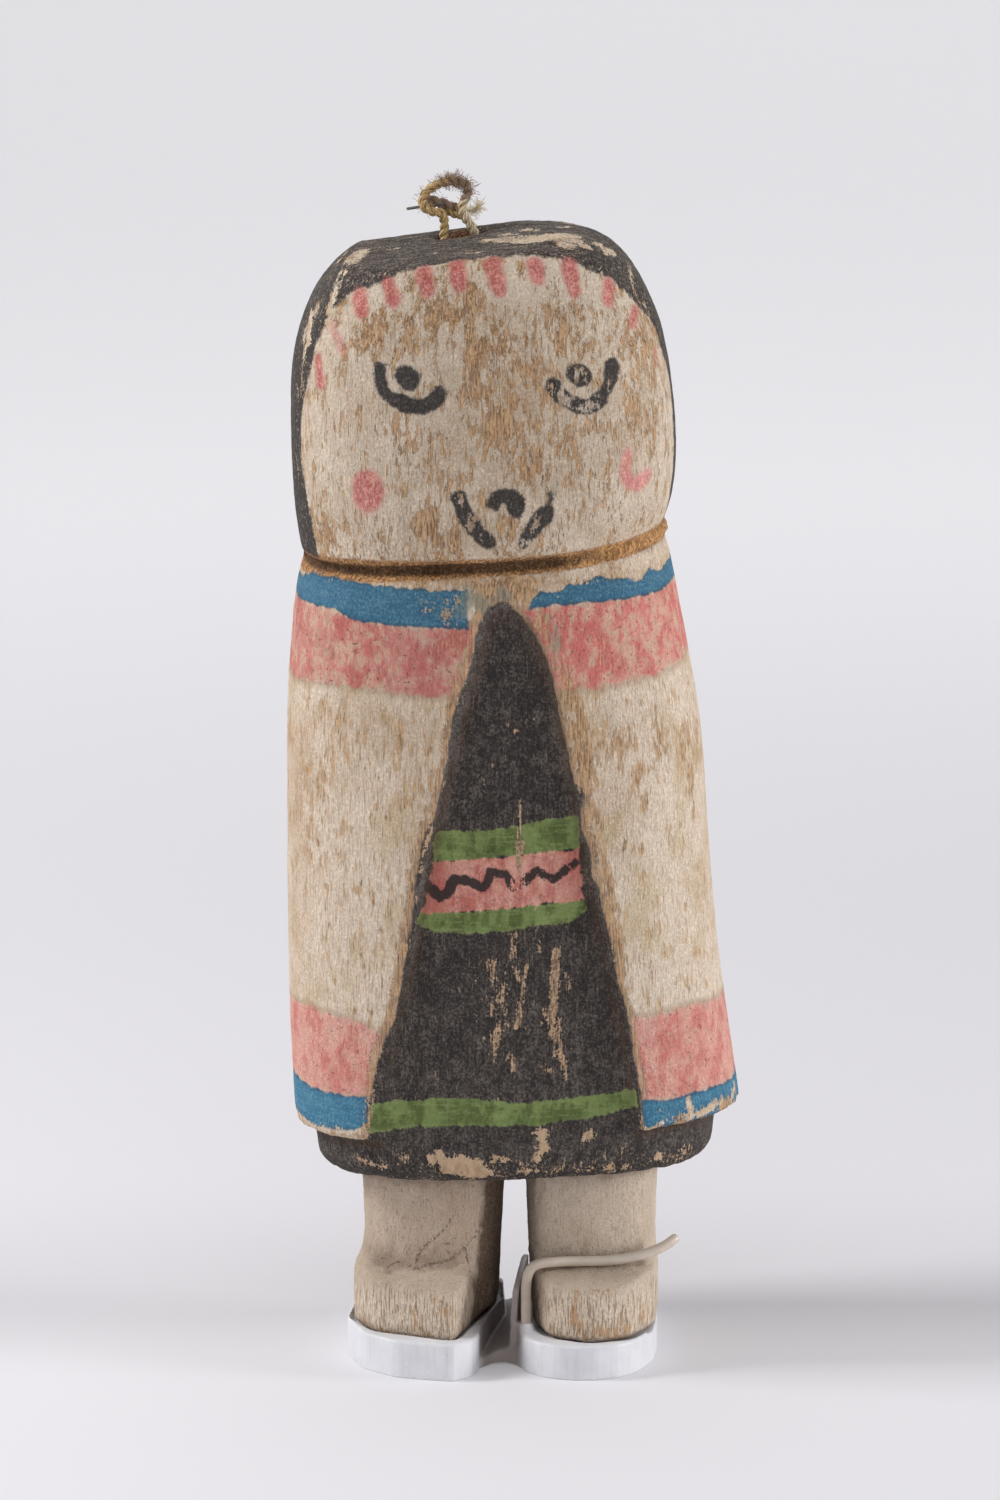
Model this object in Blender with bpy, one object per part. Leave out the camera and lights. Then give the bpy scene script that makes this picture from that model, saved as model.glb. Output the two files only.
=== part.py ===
"""Carved and painted wooden doll with a hanging string, standing on its museum mount.

Metres, +Z up. The doll faces -Y. The origin is on the floor, below the middle of the
doll and its mount.
"""
import math

import bmesh
import bpy
import numpy as np

MM = 0.001

# Sections of the doll, in millimetres: height, left side, right side, front, back, squareness.
# Squareness is the exponent of the superellipse: 2 is an ellipse, larger is boxier.
SHAWL = [
    (49.8, -44.8, 46.2, -30.1, 30.6, 2.7),
    (72.0, -45.8, 42.9, -30.0, 31.8, 2.7),
    (92.0, -46.1, 40.5, -29.8, 32.4, 2.7),
    (113.0, -46.2, 39.0, -29.5, 32.4, 2.65),
    (129.0, -46.2, 37.8, -29.2, 32.0, 2.6),
    (144.0, -45.6, 35.2, -28.9, 31.2, 2.55),
    (154.0, -44.7, 33.4, -28.6, 30.0, 2.5),
    (161.5, -43.9, 31.7, -28.2, 28.4, 2.5),
    (165.6, -43.0, 30.4, -27.3, 26.6, 2.5),
]
NECK_GROOVE = (167.1, -41.4, 28.4, -22.0, 21.6, 2.5)
HEAD = [
    (169.0, -42.9, 29.8, -28.0, 26.0, 2.6),
    (173.5, -43.7, 31.4, -28.6, 27.6, 2.7),
    (181.0, -44.5, 32.5, -28.9, 28.6, 2.8),
    (189.0, -44.9, 32.6, -28.9, 29.2, 2.9),
    (198.0, -44.8, 31.9, -28.6, 29.2, 2.9),
    (206.0, -44.4, 30.8, -28.2, 28.6, 2.9),
    (214.0, -42.4, 28.9, -27.6, 27.0, 2.9),
    (220.0, -39.6, 26.2, -26.8, 24.6, 2.9),
    (225.4, -35.2, 23.1, -25.4, 20.8, 2.9),
    (229.2, -29.6, 19.2, -23.0, 15.5, 2.9),
    (231.4, -22.0, 14.8, -19.2, 9.4, 2.8),
    (232.2, -13.0, 9.0, -13.0, 3.4, 2.5),
]
DRESS = [
    (40.1, -38.0, 38.8, -24.4, 25.2, 2.7),
    (42.4, -40.3, 40.7, -26.5, 27.2, 2.7),
    (52.0, -40.7, 41.0, -26.9, 28.0, 2.7),
    (80.0, -40.4, 37.0, -26.8, 28.0, 2.7),
    (120.0, -40.2, 33.0, -26.6, 28.0, 2.7),
    (162.0, -37.0, 26.0, -26.3, 24.0, 2.8),
]
RING_STEP = 5.0         # height between two rings of the shawl and head
RING_POINTS = 56        # points around such a ring
DRESS_STEP = 16.0
DRESS_POINTS = 48

# How steeply the neck groove and the hems rise towards +X.
NECK_RISE = 0.052
SHAWL_HEM_RISE = 0.046
DRESS_HEM_RISE = 0.030
NECK_BEND = 0.0026      # the groove also curves up, by this much for each square millimetre of +X
NECK_BEND_REACH = 9.0   # height above and below the groove over which that curve fades out
HEAD_LEVEL_SHARE = 0.62 # share of the head's height by which its rings are level

# The shawl's opening, in millimetres: height, left edge, right edge on the shawl's surface.
OPENING = [
    (160.6, -4.6, 0.8),
    (157.0, -7.0, 4.6),
    (149.0, -9.0, 8.2),
    (134.0, -12.9, 11.8),
    (113.0, -17.9, 15.6),
    (92.0, -21.6, 20.0),
    (70.0, -26.6, 24.8),
    (40.0, -32.8, 28.6),
]
OPENING_BEVEL = 2.0     # how far each wall of the opening leans in from surface to dress
OPENING_MOUTH_Y = -32.0
OPENING_FLOOR_Y = -25.6
OPENING_PAST_MOUTH = 4.0

# Two knife cuts across the left of the crown. They meet in a crest that climbs towards +X,
# and fall from it to the front and to the back.
CREST_POINT = (-24.0, 3.0, 229.1)
CREST_CLIMB = 0.138
CROWN_FALL_FRONT = 0.105
CROWN_FALL_BACK = 0.24

# Legs, in millimetres: height, left side, right side, front, back, squareness.
LEG_LEFT = [
    (9.4, -29.4, -3.1, -15.4, 14.4, 3.0),
    (20.0, -30.3, -2.7, -16.3, 15.0, 3.0),
    (46.0, -31.4, -1.3, -16.9, 15.6, 3.0),
]
LEG_RIGHT = [
    (9.4, 3.5, 28.4, -15.4, 14.4, 3.0),
    (20.0, 3.0, 28.8, -16.3, 15.0, 3.0),
    (46.0, 2.0, 29.8, -16.9, 15.6, 3.0),
]
LEG_STEP = 9.0
LEG_POINTS = 28

# Feet seen from above, in millimetres: the corners of each foot before they are rounded.
SOLE_LEFT = [(-33.2, -11.8), (-28.4, -21.6), (-12.2, -28.8), (-2.9, 4.0), (-3.2, 14.8),
             (-29.6, 15.0)]
SOLE_RIGHT = [(4.0, -14.6), (7.0, -24.2), (15.4, -28.4), (23.4, -25.6), (29.0, -15.6),
              (29.7, -3.0), (28.6, 14.8), (3.2, 15.0)]
SOLE_HEIGHT = 6.5
SOLE_CORNER = 2.2
SOLE_CHAMFER = 0.7      # the sole's edge is cut back by this much
SOLE_CHAMFER_HEIGHT = 0.9
FOOT_BLOCK_TOP = 24.0   # a foot is cut from a block of this height
TOE_TIP_HEIGHT_LEFT = 17.3
TOE_TIP_HEIGHT_RIGHT = 17.4
TOE_TIP_Y = -28.4
INSTEP_ANGLE = 14.5     # degrees that the top of a foot rises from the toes to the leg
INSTEP_HEIGHT = 19.4    # where that slope ends
TOE_LEAN = 0.7          # how far the toes' front comes forward from sole to top
TOES_BEHIND_Y = -10.0   # what lies in front of this leans so

# Pit in the crown that the string comes out of.
PIT_LEFT_X = -14.1
PIT_RIGHT_X = -7.7
PIT_Y = -2.0
PIT_RADIUS = 1.5
PIT_FLOOR = 224.6
PIT_MOUTH = 240.0       # above the crown
PIT_END_STEPS = 6

# String: its diameter and the route of its centre line.
STRING_DIAMETER = 1.6
STRING_ROUTE = [
    (-14.1, -2.0, 225.6), (-14.1, -2.0, 229.6), (-14.0, -2.3, 232.7), (-14.7, -2.8, 234.6),
    (-16.6, -3.1, 235.0), (-18.2, -2.7, 236.0), (-18.1, -1.7, 237.8), (-16.7, -1.3, 239.4),
    (-14.5, -1.5, 240.5), (-11.9, -1.8, 241.0), (-9.6, -2.1, 240.2), (-9.3, -2.4, 238.4),
    (-10.2, -2.6, 236.8), (-10.4, -2.5, 234.9), (-9.4, -2.3, 233.0), (-8.2, -2.0, 231.2),
    (-7.7, -2.0, 229.0), (-7.7, -2.0, 225.6),
]
STRING_STEP = 1.5       # distance between two points of the tube

# Quill stub: a rod that lies against the back of the knot.
QUILL_DIAMETER = 0.6
QUILL_FROM = (-21.4, -1.3, 235.2)
QUILL_TO = (-12.6, -0.8, 236.5)
QUILL_STEP = 20.0

# Mount base, in millimetres, seen from above.
PAD_LEFT = [(-34.2, -11.0), (-33.4, -15.4), (-30.7, -23.3), (-24.1, -29.4), (-12.8, -32.5),
            (-8.9, -29.6), (-7.2, -25.4), (-6.8, -19.5), (-5.0, -10.0), (-1.9, 4.0),
            (-2.2, 17.0), (-4.6, 19.0), (-28.0, 19.0), (-31.0, 16.6)]
PAD_RIGHT = [(1.2, -23.3), (3.4, -27.2), (6.6, -29.9), (10.6, -31.5), (14.6, -31.8),
             (18.8, -30.8), (22.6, -28.8), (26.0, -24.2), (28.6, -17.2), (29.5, -7.0),
             (28.8, 16.4), (26.4, 19.0), (4.6, 19.0), (1.9, 16.6)]
PAD_HEIGHT_LEFT = 7.8
PAD_HEIGHT_RIGHT = 7.2
PAD_CORNER_LEFT = 0.8
PAD_CORNER_RIGHT = 1.6
PAD_EDGE = 0.35         # small bevel along the pads' edges
RECESS_FLOOR = 6.2      # the soles stand 0.3 mm above it
RECESS_TOP = 12.0       # above the pads
RECESS_CLEARANCE = 0.7
BRIDGE = [(-9.0, -24.0), (-6.5, -22.6), (-4.6, -20.7), (-2.0, -19.9), (0.0, -20.9),
          (1.6, -23.0), (5.0, -23.4), (5.0, 15.0), (-9.0, 15.0)]
BRIDGE_HEIGHT = 4.15        # of its top at x = 0
BRIDGE_RISE = 0.33          # how its top climbs towards +X
FIN_FRONT_Y = -20.2
FIN_BASE = 1.0              # where the fin starts, inside the bridge
FIN_FOOT_X = -0.85          # middle of the fin's thickness at the floor
FIN_LEAN = 0.075            # how far it leans towards +X for each unit of height
FIN_TURN = 0.18             # and for each unit towards +Y
FIN_LENGTH = 10.0
FIN_THICKNESS = 1.3
FIN_FRONT_HEIGHT = 16.0
FIN_TOP_HEIGHT = 20.6
FIN_SLOPE_LENGTH = 7.5
SOCKET = [(0.9, -21.6), (3.9, -21.6), (3.9, -18.0), (0.9, -18.0)]   # holds the clip's foot
SOCKET_HEIGHT = 8.9

# Clip: a wire in a plastic sleeve, from its socket up and over the instep.
CLIP_DIAMETER = 2.1
CLIP_ROUTE = [
    (2.45, -19.8, 9.2), (2.45, -19.8, 13.0), (2.5, -19.8, 16.9), (3.2, -19.7, 19.8),
    (5.2, -19.4, 21.1), (9.4, -18.8, 21.4), (14.0, -18.4, 21.4), (18.6, -18.3, 21.5),
    (23.6, -18.1, 22.1), (28.4, -17.2, 23.2), (31.0, -15.9, 24.1), (32.7, -14.5, 25.0),
]
CLIP_STEP = 1.6

MERGE_DISTANCE = 0.00001
ROUND_ANGLE = math.radians(35)      # edges below this are shaded smooth
FILED_ANGLE = math.radians(20)

WOOD = ("painted_wood", (0.60, 0.50, 0.39), 0.88, 0.0)
FIBRE = ("plant_fibre", (0.55, 0.41, 0.22), 0.90, 0.0)
QUILL = ("dry_quill", (0.42, 0.42, 0.38), 0.55, 0.0)
WHITE_PAINT = ("white_paint", (0.80, 0.80, 0.82), 0.42, 0.0)
SLEEVE = ("sleeve_plastic", (0.47, 0.42, 0.35), 0.35, 0.0)


def clear_scene():
    for item in list(bpy.data.objects):
        bpy.data.objects.remove(item, do_unlink=True)


def new_collection(name):
    collection = bpy.data.collections.new(name)
    bpy.context.scene.collection.children.link(collection)
    return collection


def new_material(name, colour, roughness, metallic):
    material = bpy.data.materials.new(name)
    material.use_nodes = True
    shader = material.node_tree.nodes["Principled BSDF"]
    shader.inputs["Base Color"].default_value = (*colour, 1.0)
    shader.inputs["Roughness"].default_value = roughness
    shader.inputs["Metallic"].default_value = metallic
    return material


def smooth_through(points, step):
    """Points about one step apart on a Catmull-Rom curve through the given points."""
    points = np.array(points, dtype=float)
    padded = np.vstack([2 * points[0] - points[1], points, 2 * points[-1] - points[-2]])
    result = [points[0]]
    for before, start, end, after in zip(padded, padded[1:], padded[2:], padded[3:]):
        count = max(1, round(float(np.linalg.norm((end - start)[:3])) / step))
        for t in np.arange(1, count + 1) / count:
            result.append(0.5 * (2 * start + (end - before) * t
                                 + (2 * before - 5 * start + 4 * end - after) * t ** 2
                                 + (3 * start - before - 3 * end + after) * t ** 3))
    return np.array(result)


def smooth_sections(table, step):
    """A section table with more rows, on smooth curves from row to row."""
    rows = np.array(table, dtype=float)
    heights = rows[:, 0]
    slopes = np.gradient(rows, heights, axis=0)
    result = []
    for i in range(len(rows) - 1):
        span = heights[i + 1] - heights[i]
        count = max(1, round(span / step))
        for t in np.arange(count) / count:
            result.append((1 + 2 * t) * (1 - t) ** 2 * rows[i] + t * (1 - t) ** 2 * span * slopes[i]
                          + t ** 2 * (3 - 2 * t) * rows[i + 1]
                          - t ** 2 * (1 - t) * span * slopes[i + 1])
    result.append(rows[-1])
    return result


def section_ring(section, points, rise=0.0, bend=0.0):
    """Points of one superellipse section, in metres, tilted and curved up towards +X."""
    height, left, right, front, back, squareness = section
    middle_x, half_x = (left + right) / 2, (right - left) / 2
    middle_y, half_y = (front + back) / 2, (back - front) / 2
    ring = []
    for k in range(points):
        angle = 2 * math.pi * k / points
        c, s = math.cos(angle), math.sin(angle)
        reach = (abs(c) ** squareness + abs(s) ** squareness) ** (-1 / squareness)
        x, y = middle_x + half_x * reach * c, middle_y + half_y * reach * s
        ring.append((x * MM, y * MM, (height + rise * x + bend * max(0.0, x) ** 2) * MM))
    return ring


def loft(name, rings):
    """A closed mesh through rings of equally many points, the lowest ring first."""
    mesh = bpy.data.meshes.new(name)
    shape = bmesh.new()
    rows = [[shape.verts.new(point) for point in ring] for ring in rings]
    for lower, upper in zip(rows, rows[1:]):
        for k in range(len(lower)):
            after = (k + 1) % len(lower)
            shape.faces.new((lower[k], lower[after], upper[after], upper[k]))
    shape.faces.new(list(reversed(rows[0])))
    shape.faces.new(rows[-1])
    bmesh.ops.recalc_face_normals(shape, faces=shape.faces)
    shape.to_mesh(mesh)
    shape.free()
    return mesh


def add_object(name, mesh, collection, material=None):
    item = bpy.data.objects.new(name, mesh)
    collection.objects.link(item)
    if material:
        mesh.materials.append(material)
    return item


def make_guide(item):
    item.hide_render = True
    item.display_type = "WIRE"
    return item


def combine(target, other, operation):
    modifier = target.modifiers.new(f"{operation.lower()} {other.name}", "BOOLEAN")
    modifier.operation = operation
    modifier.solver = "EXACT"
    modifier.object = other


def apply_modifiers(item):
    """Replace the object's mesh by its evaluated mesh."""
    evaluated = item.evaluated_get(bpy.context.evaluated_depsgraph_get())
    mesh = bpy.data.meshes.new_from_object(evaluated)
    shape = bmesh.new()
    shape.from_mesh(mesh)
    bmesh.ops.remove_doubles(shape, verts=shape.verts, dist=MERGE_DISTANCE)
    bmesh.ops.dissolve_degenerate(shape, edges=shape.edges, dist=MERGE_DISTANCE)
    shape.to_mesh(mesh)
    shape.free()
    item.modifiers.clear()
    item.data = mesh


def shade(item, angle=ROUND_ANGLE):
    item.data.shade_smooth()
    item.data.set_sharp_from_angle(angle=angle)


def cut_with_plane(item, point, normal):
    """Slice off what lies beyond a plane, and close the cut with one flat face."""
    shape = bmesh.new()
    shape.from_mesh(item.data)
    geometry = list(shape.verts) + list(shape.edges) + list(shape.faces)
    cut = bmesh.ops.bisect_plane(shape, geom=geometry, plane_co=point, plane_no=normal,
                                 clear_outer=True)
    edges = [part for part in cut["geom_cut"] if isinstance(part, bmesh.types.BMEdge)]
    bmesh.ops.holes_fill(shape, edges=edges)
    bmesh.ops.recalc_face_normals(shape, faces=shape.faces)
    shape.to_mesh(item.data)
    shape.free()


def rounded_outline(corners, radius, steps=3):
    """A closed outline, in millimetres, with an arc-like curve at each corner."""
    outline = []
    corners = [np.array(corner, dtype=float) for corner in corners]
    for before, corner, after in zip(corners[-1:] + corners[:-1], corners,
                                     corners[1:] + corners[:1]):
        to_before, to_after = before - corner, after - corner
        reach = min(radius, np.linalg.norm(to_before) * 0.45, np.linalg.norm(to_after) * 0.45)
        start = corner + to_before / np.linalg.norm(to_before) * reach
        end = corner + to_after / np.linalg.norm(to_after) * reach
        for t in np.arange(steps + 1) / steps:
            outline.append((1 - t) ** 2 * start + 2 * t * (1 - t) * corner + t ** 2 * end)
    return outline


def grown(outline, distance):
    """The outline moved outwards by a distance, in millimetres."""
    outline = [np.array(point, dtype=float) for point in outline]
    area = sum(a[0] * b[1] - a[1] * b[0] for a, b in zip(outline, outline[1:] + outline[:1]))
    turn = 1.0 if area > 0 else -1.0
    result = []
    for before, point, after in zip(outline[-1:] + outline[:-1], outline,
                                    outline[1:] + outline[:1]):
        along = after - before
        outwards = np.array([along[1], -along[0]]) * turn / np.linalg.norm(along)
        result.append(point + outwards * distance)
    return result


def outline_ring(outline, height):
    return [(point[0] * MM, point[1] * MM, height * MM) for point in outline]


def tube(name, route, step, diameter, collection, material):
    """A tube with filled ends along a smooth curve through the route."""
    curve = bpy.data.curves.new(name, "CURVE")
    curve.dimensions = "3D"
    curve.bevel_depth = diameter / 2 * MM
    curve.bevel_resolution = 2
    curve.use_fill_caps = True
    points = smooth_through(route, step) * MM
    spline = curve.splines.new("POLY")
    spline.points.add(len(points) - 1)
    for target, point in zip(spline.points, points):
        target.co = (*point, 1.0)
    source = bpy.data.objects.new(f"{name}_path", curve)
    collection.objects.link(source)
    evaluated = source.evaluated_get(bpy.context.evaluated_depsgraph_get())
    mesh = bpy.data.meshes.new_from_object(evaluated)
    mesh.name = name
    shape = bmesh.new()
    shape.from_mesh(mesh)
    bmesh.ops.remove_doubles(shape, verts=shape.verts, dist=MERGE_DISTANCE)
    shape.to_mesh(mesh)
    shape.free()
    bpy.data.objects.remove(source, do_unlink=True)
    mesh.materials.clear()
    item = add_object(name, mesh, collection, material)
    shade(item)
    return item


def neck_bend(height):
    """How strongly a ring curves up towards +X: as the groove does, and less away from it."""
    return NECK_BEND * max(0.0, 1 - abs(height - NECK_GROOVE[0]) / NECK_BEND_REACH)


def head_and_shawl(parts):
    """The carving's outer body: shawl, neck groove and head in one stack of rings."""
    rings = []
    shawl = smooth_sections(SHAWL, RING_STEP)
    lowest, highest = shawl[0][0], shawl[-1][0]
    for section in shawl:
        share = (section[0] - lowest) / (highest - lowest)
        rise = SHAWL_HEM_RISE + (NECK_RISE - SHAWL_HEM_RISE) * share
        rings.append(section_ring(section, RING_POINTS, rise, neck_bend(section[0])))
    rings.append(section_ring(NECK_GROOVE, RING_POINTS, NECK_RISE, NECK_BEND))
    head = smooth_sections(HEAD, RING_STEP)
    lowest, highest = head[0][0], head[-1][0]
    for section in head:
        share = min(1.0, (section[0] - lowest) / (highest - lowest) / HEAD_LEVEL_SHARE)
        rings.append(section_ring(section, RING_POINTS, NECK_RISE * (1 - share),
                                  neck_bend(section[0])))
    body = add_object("doll", loft("doll", rings), parts)
    crest = tuple(value * MM for value in CREST_POINT)
    cut_with_plane(body, crest, (-CREST_CLIMB, -CROWN_FALL_FRONT, 1.0))
    cut_with_plane(body, crest, (-CREST_CLIMB, CROWN_FALL_BACK, 1.0))
    return body


def opening_ring(depth_y, inset):
    """The opening's outline at one depth, drawn in from its edges by the inset."""
    heights = [row[0] for row in OPENING]
    heights[0] -= inset
    left = [(row[1] + inset, z) for row, z in zip(OPENING, heights)]
    right = [(row[2] - inset, z) for row, z in zip(OPENING, heights)]
    return [(x * MM, depth_y * MM, z * MM) for x, z in left + right[::-1]]


def opening_cutter(guides):
    """The tapered wedge that opens the shawl's front down to the dress."""
    flare = OPENING_BEVEL * OPENING_PAST_MOUTH / (OPENING_FLOOR_Y - OPENING_MOUTH_Y)
    rings = [opening_ring(OPENING_MOUTH_Y - OPENING_PAST_MOUTH, -flare),
             opening_ring(OPENING_FLOOR_Y, OPENING_BEVEL)]
    return make_guide(add_object("opening_cutter", loft("opening_cutter", rings), guides))


def foot(name, sole, tip_height, guides):
    """A foot: its sole's outline carried up, cut by the slope from the toes to the leg."""
    outline = rounded_outline(sole, SOLE_CORNER)
    lean = [(x, y - (TOE_LEAN if y < TOES_BEHIND_Y else 0.0)) for x, y in outline]
    rings = [outline_ring(grown(outline, -SOLE_CHAMFER), SOLE_HEIGHT),
             outline_ring(outline, SOLE_HEIGHT + SOLE_CHAMFER_HEIGHT),
             outline_ring(lean, FOOT_BLOCK_TOP)]
    item = make_guide(add_object(name, loft(name, rings), guides))
    slope = math.radians(INSTEP_ANGLE)
    cut_with_plane(item, (0, TOE_TIP_Y * MM, tip_height * MM),
                   (0, -math.sin(slope), math.cos(slope)))
    cut_with_plane(item, (0, 0, INSTEP_HEIGHT * MM), (0, 0, 1))
    return item


def leg(name, sections, guides):
    rings = [section_ring(section, LEG_POINTS) for section in smooth_sections(sections, LEG_STEP)]
    return make_guide(add_object(name, loft(name, rings), guides))


def pit_cutter(guides):
    """The string's pit: a slot with round ends, from above the crown down to its floor."""
    outline = []
    for x, first in ((PIT_LEFT_X, math.pi / 2), (PIT_RIGHT_X, -math.pi / 2)):
        for k in range(PIT_END_STEPS + 1):
            angle = first + math.pi * k / PIT_END_STEPS
            outline.append((x + PIT_RADIUS * math.cos(angle), PIT_Y + PIT_RADIUS * math.sin(angle)))
    rings = [outline_ring(outline, PIT_FLOOR), outline_ring(outline, PIT_MOUTH)]
    return make_guide(add_object("pit_cutter", loft("pit_cutter", rings), guides))


def make_doll(parts, guides):
    doll = head_and_shawl(parts)
    combine(doll, opening_cutter(guides), "DIFFERENCE")
    dress_rings = [section_ring(section, DRESS_POINTS, DRESS_HEM_RISE)
                   for section in smooth_sections(DRESS, DRESS_STEP)]
    dress = make_guide(add_object("dress_body", loft("dress_body", dress_rings), guides))
    combine(doll, dress, "UNION")
    combine(doll, leg("leg_left", LEG_LEFT, guides), "UNION")
    combine(doll, leg("leg_right", LEG_RIGHT, guides), "UNION")
    combine(doll, foot("foot_left", SOLE_LEFT, TOE_TIP_HEIGHT_LEFT, guides), "UNION")
    combine(doll, foot("foot_right", SOLE_RIGHT, TOE_TIP_HEIGHT_RIGHT, guides), "UNION")
    combine(doll, pit_cutter(guides), "DIFFERENCE")
    apply_modifiers(doll)
    doll.data.materials.clear()
    doll.data.materials.append(new_material(*WOOD))
    shade(doll)


def prism(name, outline, low, high, collection, edge=0.0):
    """An upright block of a given outline, its upper edge slightly bevelled."""
    rings = [outline_ring(outline, low), outline_ring(outline, high - edge)]
    if edge:
        rings.append(outline_ring(grown(outline, -edge), high))
    return add_object(name, loft(name, rings), collection)


def fin(guides):
    """The upright fin: a thin leaning and turned plate whose upper front corner slopes."""
    side = [(0.0, FIN_BASE), (0.0, FIN_FRONT_HEIGHT), (FIN_SLOPE_LENGTH, FIN_TOP_HEIGHT),
            (FIN_LENGTH, FIN_TOP_HEIGHT), (FIN_LENGTH, FIN_BASE)]
    rings = []
    for offset in (-FIN_THICKNESS / 2, FIN_THICKNESS / 2):
        rings.append([((FIN_FOOT_X + offset + FIN_LEAN * height + FIN_TURN * run) * MM,
                       (FIN_FRONT_Y + run) * MM, height * MM) for run, height in side])
    return add_object("fin", loft("fin", rings), guides)


def bridge(guides):
    """The low plate between the pads: its front is hollow and its top climbs towards +X."""
    top = [(x * MM, y * MM, (BRIDGE_HEIGHT + BRIDGE_RISE * x) * MM) for x, y in BRIDGE]
    return add_object("bridge", loft("bridge", [outline_ring(BRIDGE, 0.0), top]), guides)


def make_mount_base(parts, guides):
    left = rounded_outline(PAD_LEFT, PAD_CORNER_LEFT, 1)
    right = rounded_outline(PAD_RIGHT, PAD_CORNER_RIGHT, 1)
    base = prism("mount_base", left, 0.0, PAD_HEIGHT_LEFT, parts, PAD_EDGE)
    joined = [prism("pad_right", right, 0.0, PAD_HEIGHT_RIGHT, guides, PAD_EDGE),
              bridge(guides), fin(guides),
              prism("socket", SOCKET, FIN_BASE, SOCKET_HEIGHT, guides, PAD_EDGE)]
    for piece in joined:
        combine(base, make_guide(piece), "UNION")
    for name, sole in (("recess_left", SOLE_LEFT), ("recess_right", SOLE_RIGHT)):
        outline = grown(rounded_outline(sole, SOLE_CORNER), RECESS_CLEARANCE)
        recess = make_guide(prism(name, outline, RECESS_FLOOR, RECESS_TOP, guides))
        combine(base, recess, "DIFFERENCE")
    apply_modifiers(base)
    base.data.materials.clear()
    base.data.materials.append(new_material(*WHITE_PAINT))
    shade(base, FILED_ANGLE)


def main():
    clear_scene()
    parts = new_collection("carved_doll")
    guides = new_collection("guides")
    make_doll(parts, guides)
    make_mount_base(parts, guides)
    tube("hanging_string", STRING_ROUTE, STRING_STEP, STRING_DIAMETER, parts,
         new_material(*FIBRE))
    tube("quill_stub", [QUILL_FROM, QUILL_TO], QUILL_STEP, QUILL_DIAMETER, parts,
         new_material(*QUILL))
    tube("mount_clip", CLIP_ROUTE, CLIP_STEP, CLIP_DIAMETER, parts, new_material(*SLEEVE))


main()
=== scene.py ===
"""Looks of a carved and painted wooden doll with a hanging string, on its museum mount.

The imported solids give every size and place. Metres, +Z up, and the doll faces -Y.
Lists of places on the carving are in millimetres.
"""
import math

import bmesh
import bpy
import numpy as np
from bpy.props import FloatProperty, FloatVectorProperty, IntProperty, PointerProperty
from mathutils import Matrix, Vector, noise


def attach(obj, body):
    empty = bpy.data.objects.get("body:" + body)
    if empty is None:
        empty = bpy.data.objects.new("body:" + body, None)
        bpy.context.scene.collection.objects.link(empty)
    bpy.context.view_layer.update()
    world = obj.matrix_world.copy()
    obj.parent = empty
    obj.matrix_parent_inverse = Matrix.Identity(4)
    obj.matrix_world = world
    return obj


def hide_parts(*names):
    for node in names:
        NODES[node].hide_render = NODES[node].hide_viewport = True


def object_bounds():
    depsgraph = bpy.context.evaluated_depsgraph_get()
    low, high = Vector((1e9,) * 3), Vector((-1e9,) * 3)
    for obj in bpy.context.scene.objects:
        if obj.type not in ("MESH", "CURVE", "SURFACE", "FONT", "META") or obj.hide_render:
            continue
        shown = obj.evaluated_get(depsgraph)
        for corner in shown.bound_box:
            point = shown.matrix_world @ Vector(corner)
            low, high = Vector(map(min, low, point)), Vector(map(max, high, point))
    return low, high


bl_info = {
    "name": "Painted wooden doll",
    "version": (1, 0, 0),
    "blender": (4, 5, 0),
    "location": "3D View > Sidebar > Doll",
    "description": "Builds the finished surfaces of a carved and painted doll on its mount",
    "category": "Object",
}

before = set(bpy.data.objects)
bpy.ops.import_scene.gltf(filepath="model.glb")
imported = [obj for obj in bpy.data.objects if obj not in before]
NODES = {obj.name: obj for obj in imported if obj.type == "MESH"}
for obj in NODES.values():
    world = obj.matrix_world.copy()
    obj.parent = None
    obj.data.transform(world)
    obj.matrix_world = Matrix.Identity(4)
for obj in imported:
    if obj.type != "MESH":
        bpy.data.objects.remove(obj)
CAD_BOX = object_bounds()

MM = 0.001
BODY = "root"

# The carving, in millimetres.
NECK_HEIGHT = 167.1             # middle of the neck groove below the doll's own axis
NECK_RISE = 0.052               # how the groove climbs towards +X
NECK_BEND = 0.0026
HEAD_EDGE = 169.2               # lower edge of the head and upper edge of the shawl, on the axis
SHOULDER_EDGE = 165.4
SHAWL_HEM = (49.8, 0.046)       # height on the axis and rise towards +X
DRESS_HEM = (40.1, 0.030)

# The face: the edge of the black hair around it, as (x, z) seen from the front.
FACE_OUTLINE = [
    (-39, 166), (-39.8, 170.4), (-41.2, 178.4), (-42.5, 186), (-42.6, 194), (-41.9, 199.5),
    (-40.9, 204.1), (-39.8, 209), (-38.3, 213.5), (-36.4, 217.2), (-32.8, 221), (-26.6, 223.6),
    (-22.2, 225.8), (-16.1, 227.3), (-6, 228.8), (1, 229), (6, 228.9), (12.6, 227.3), (15, 225.9),
    (19, 224.1), (23.6, 219.2), (26.6, 215.4), (28.2, 212.6), (29.7, 207.4), (31, 202.2),
    (31.5, 197), (31.9, 190), (31.8, 184), (31, 177), (30, 172.5), (29.5, 168),
]
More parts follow.
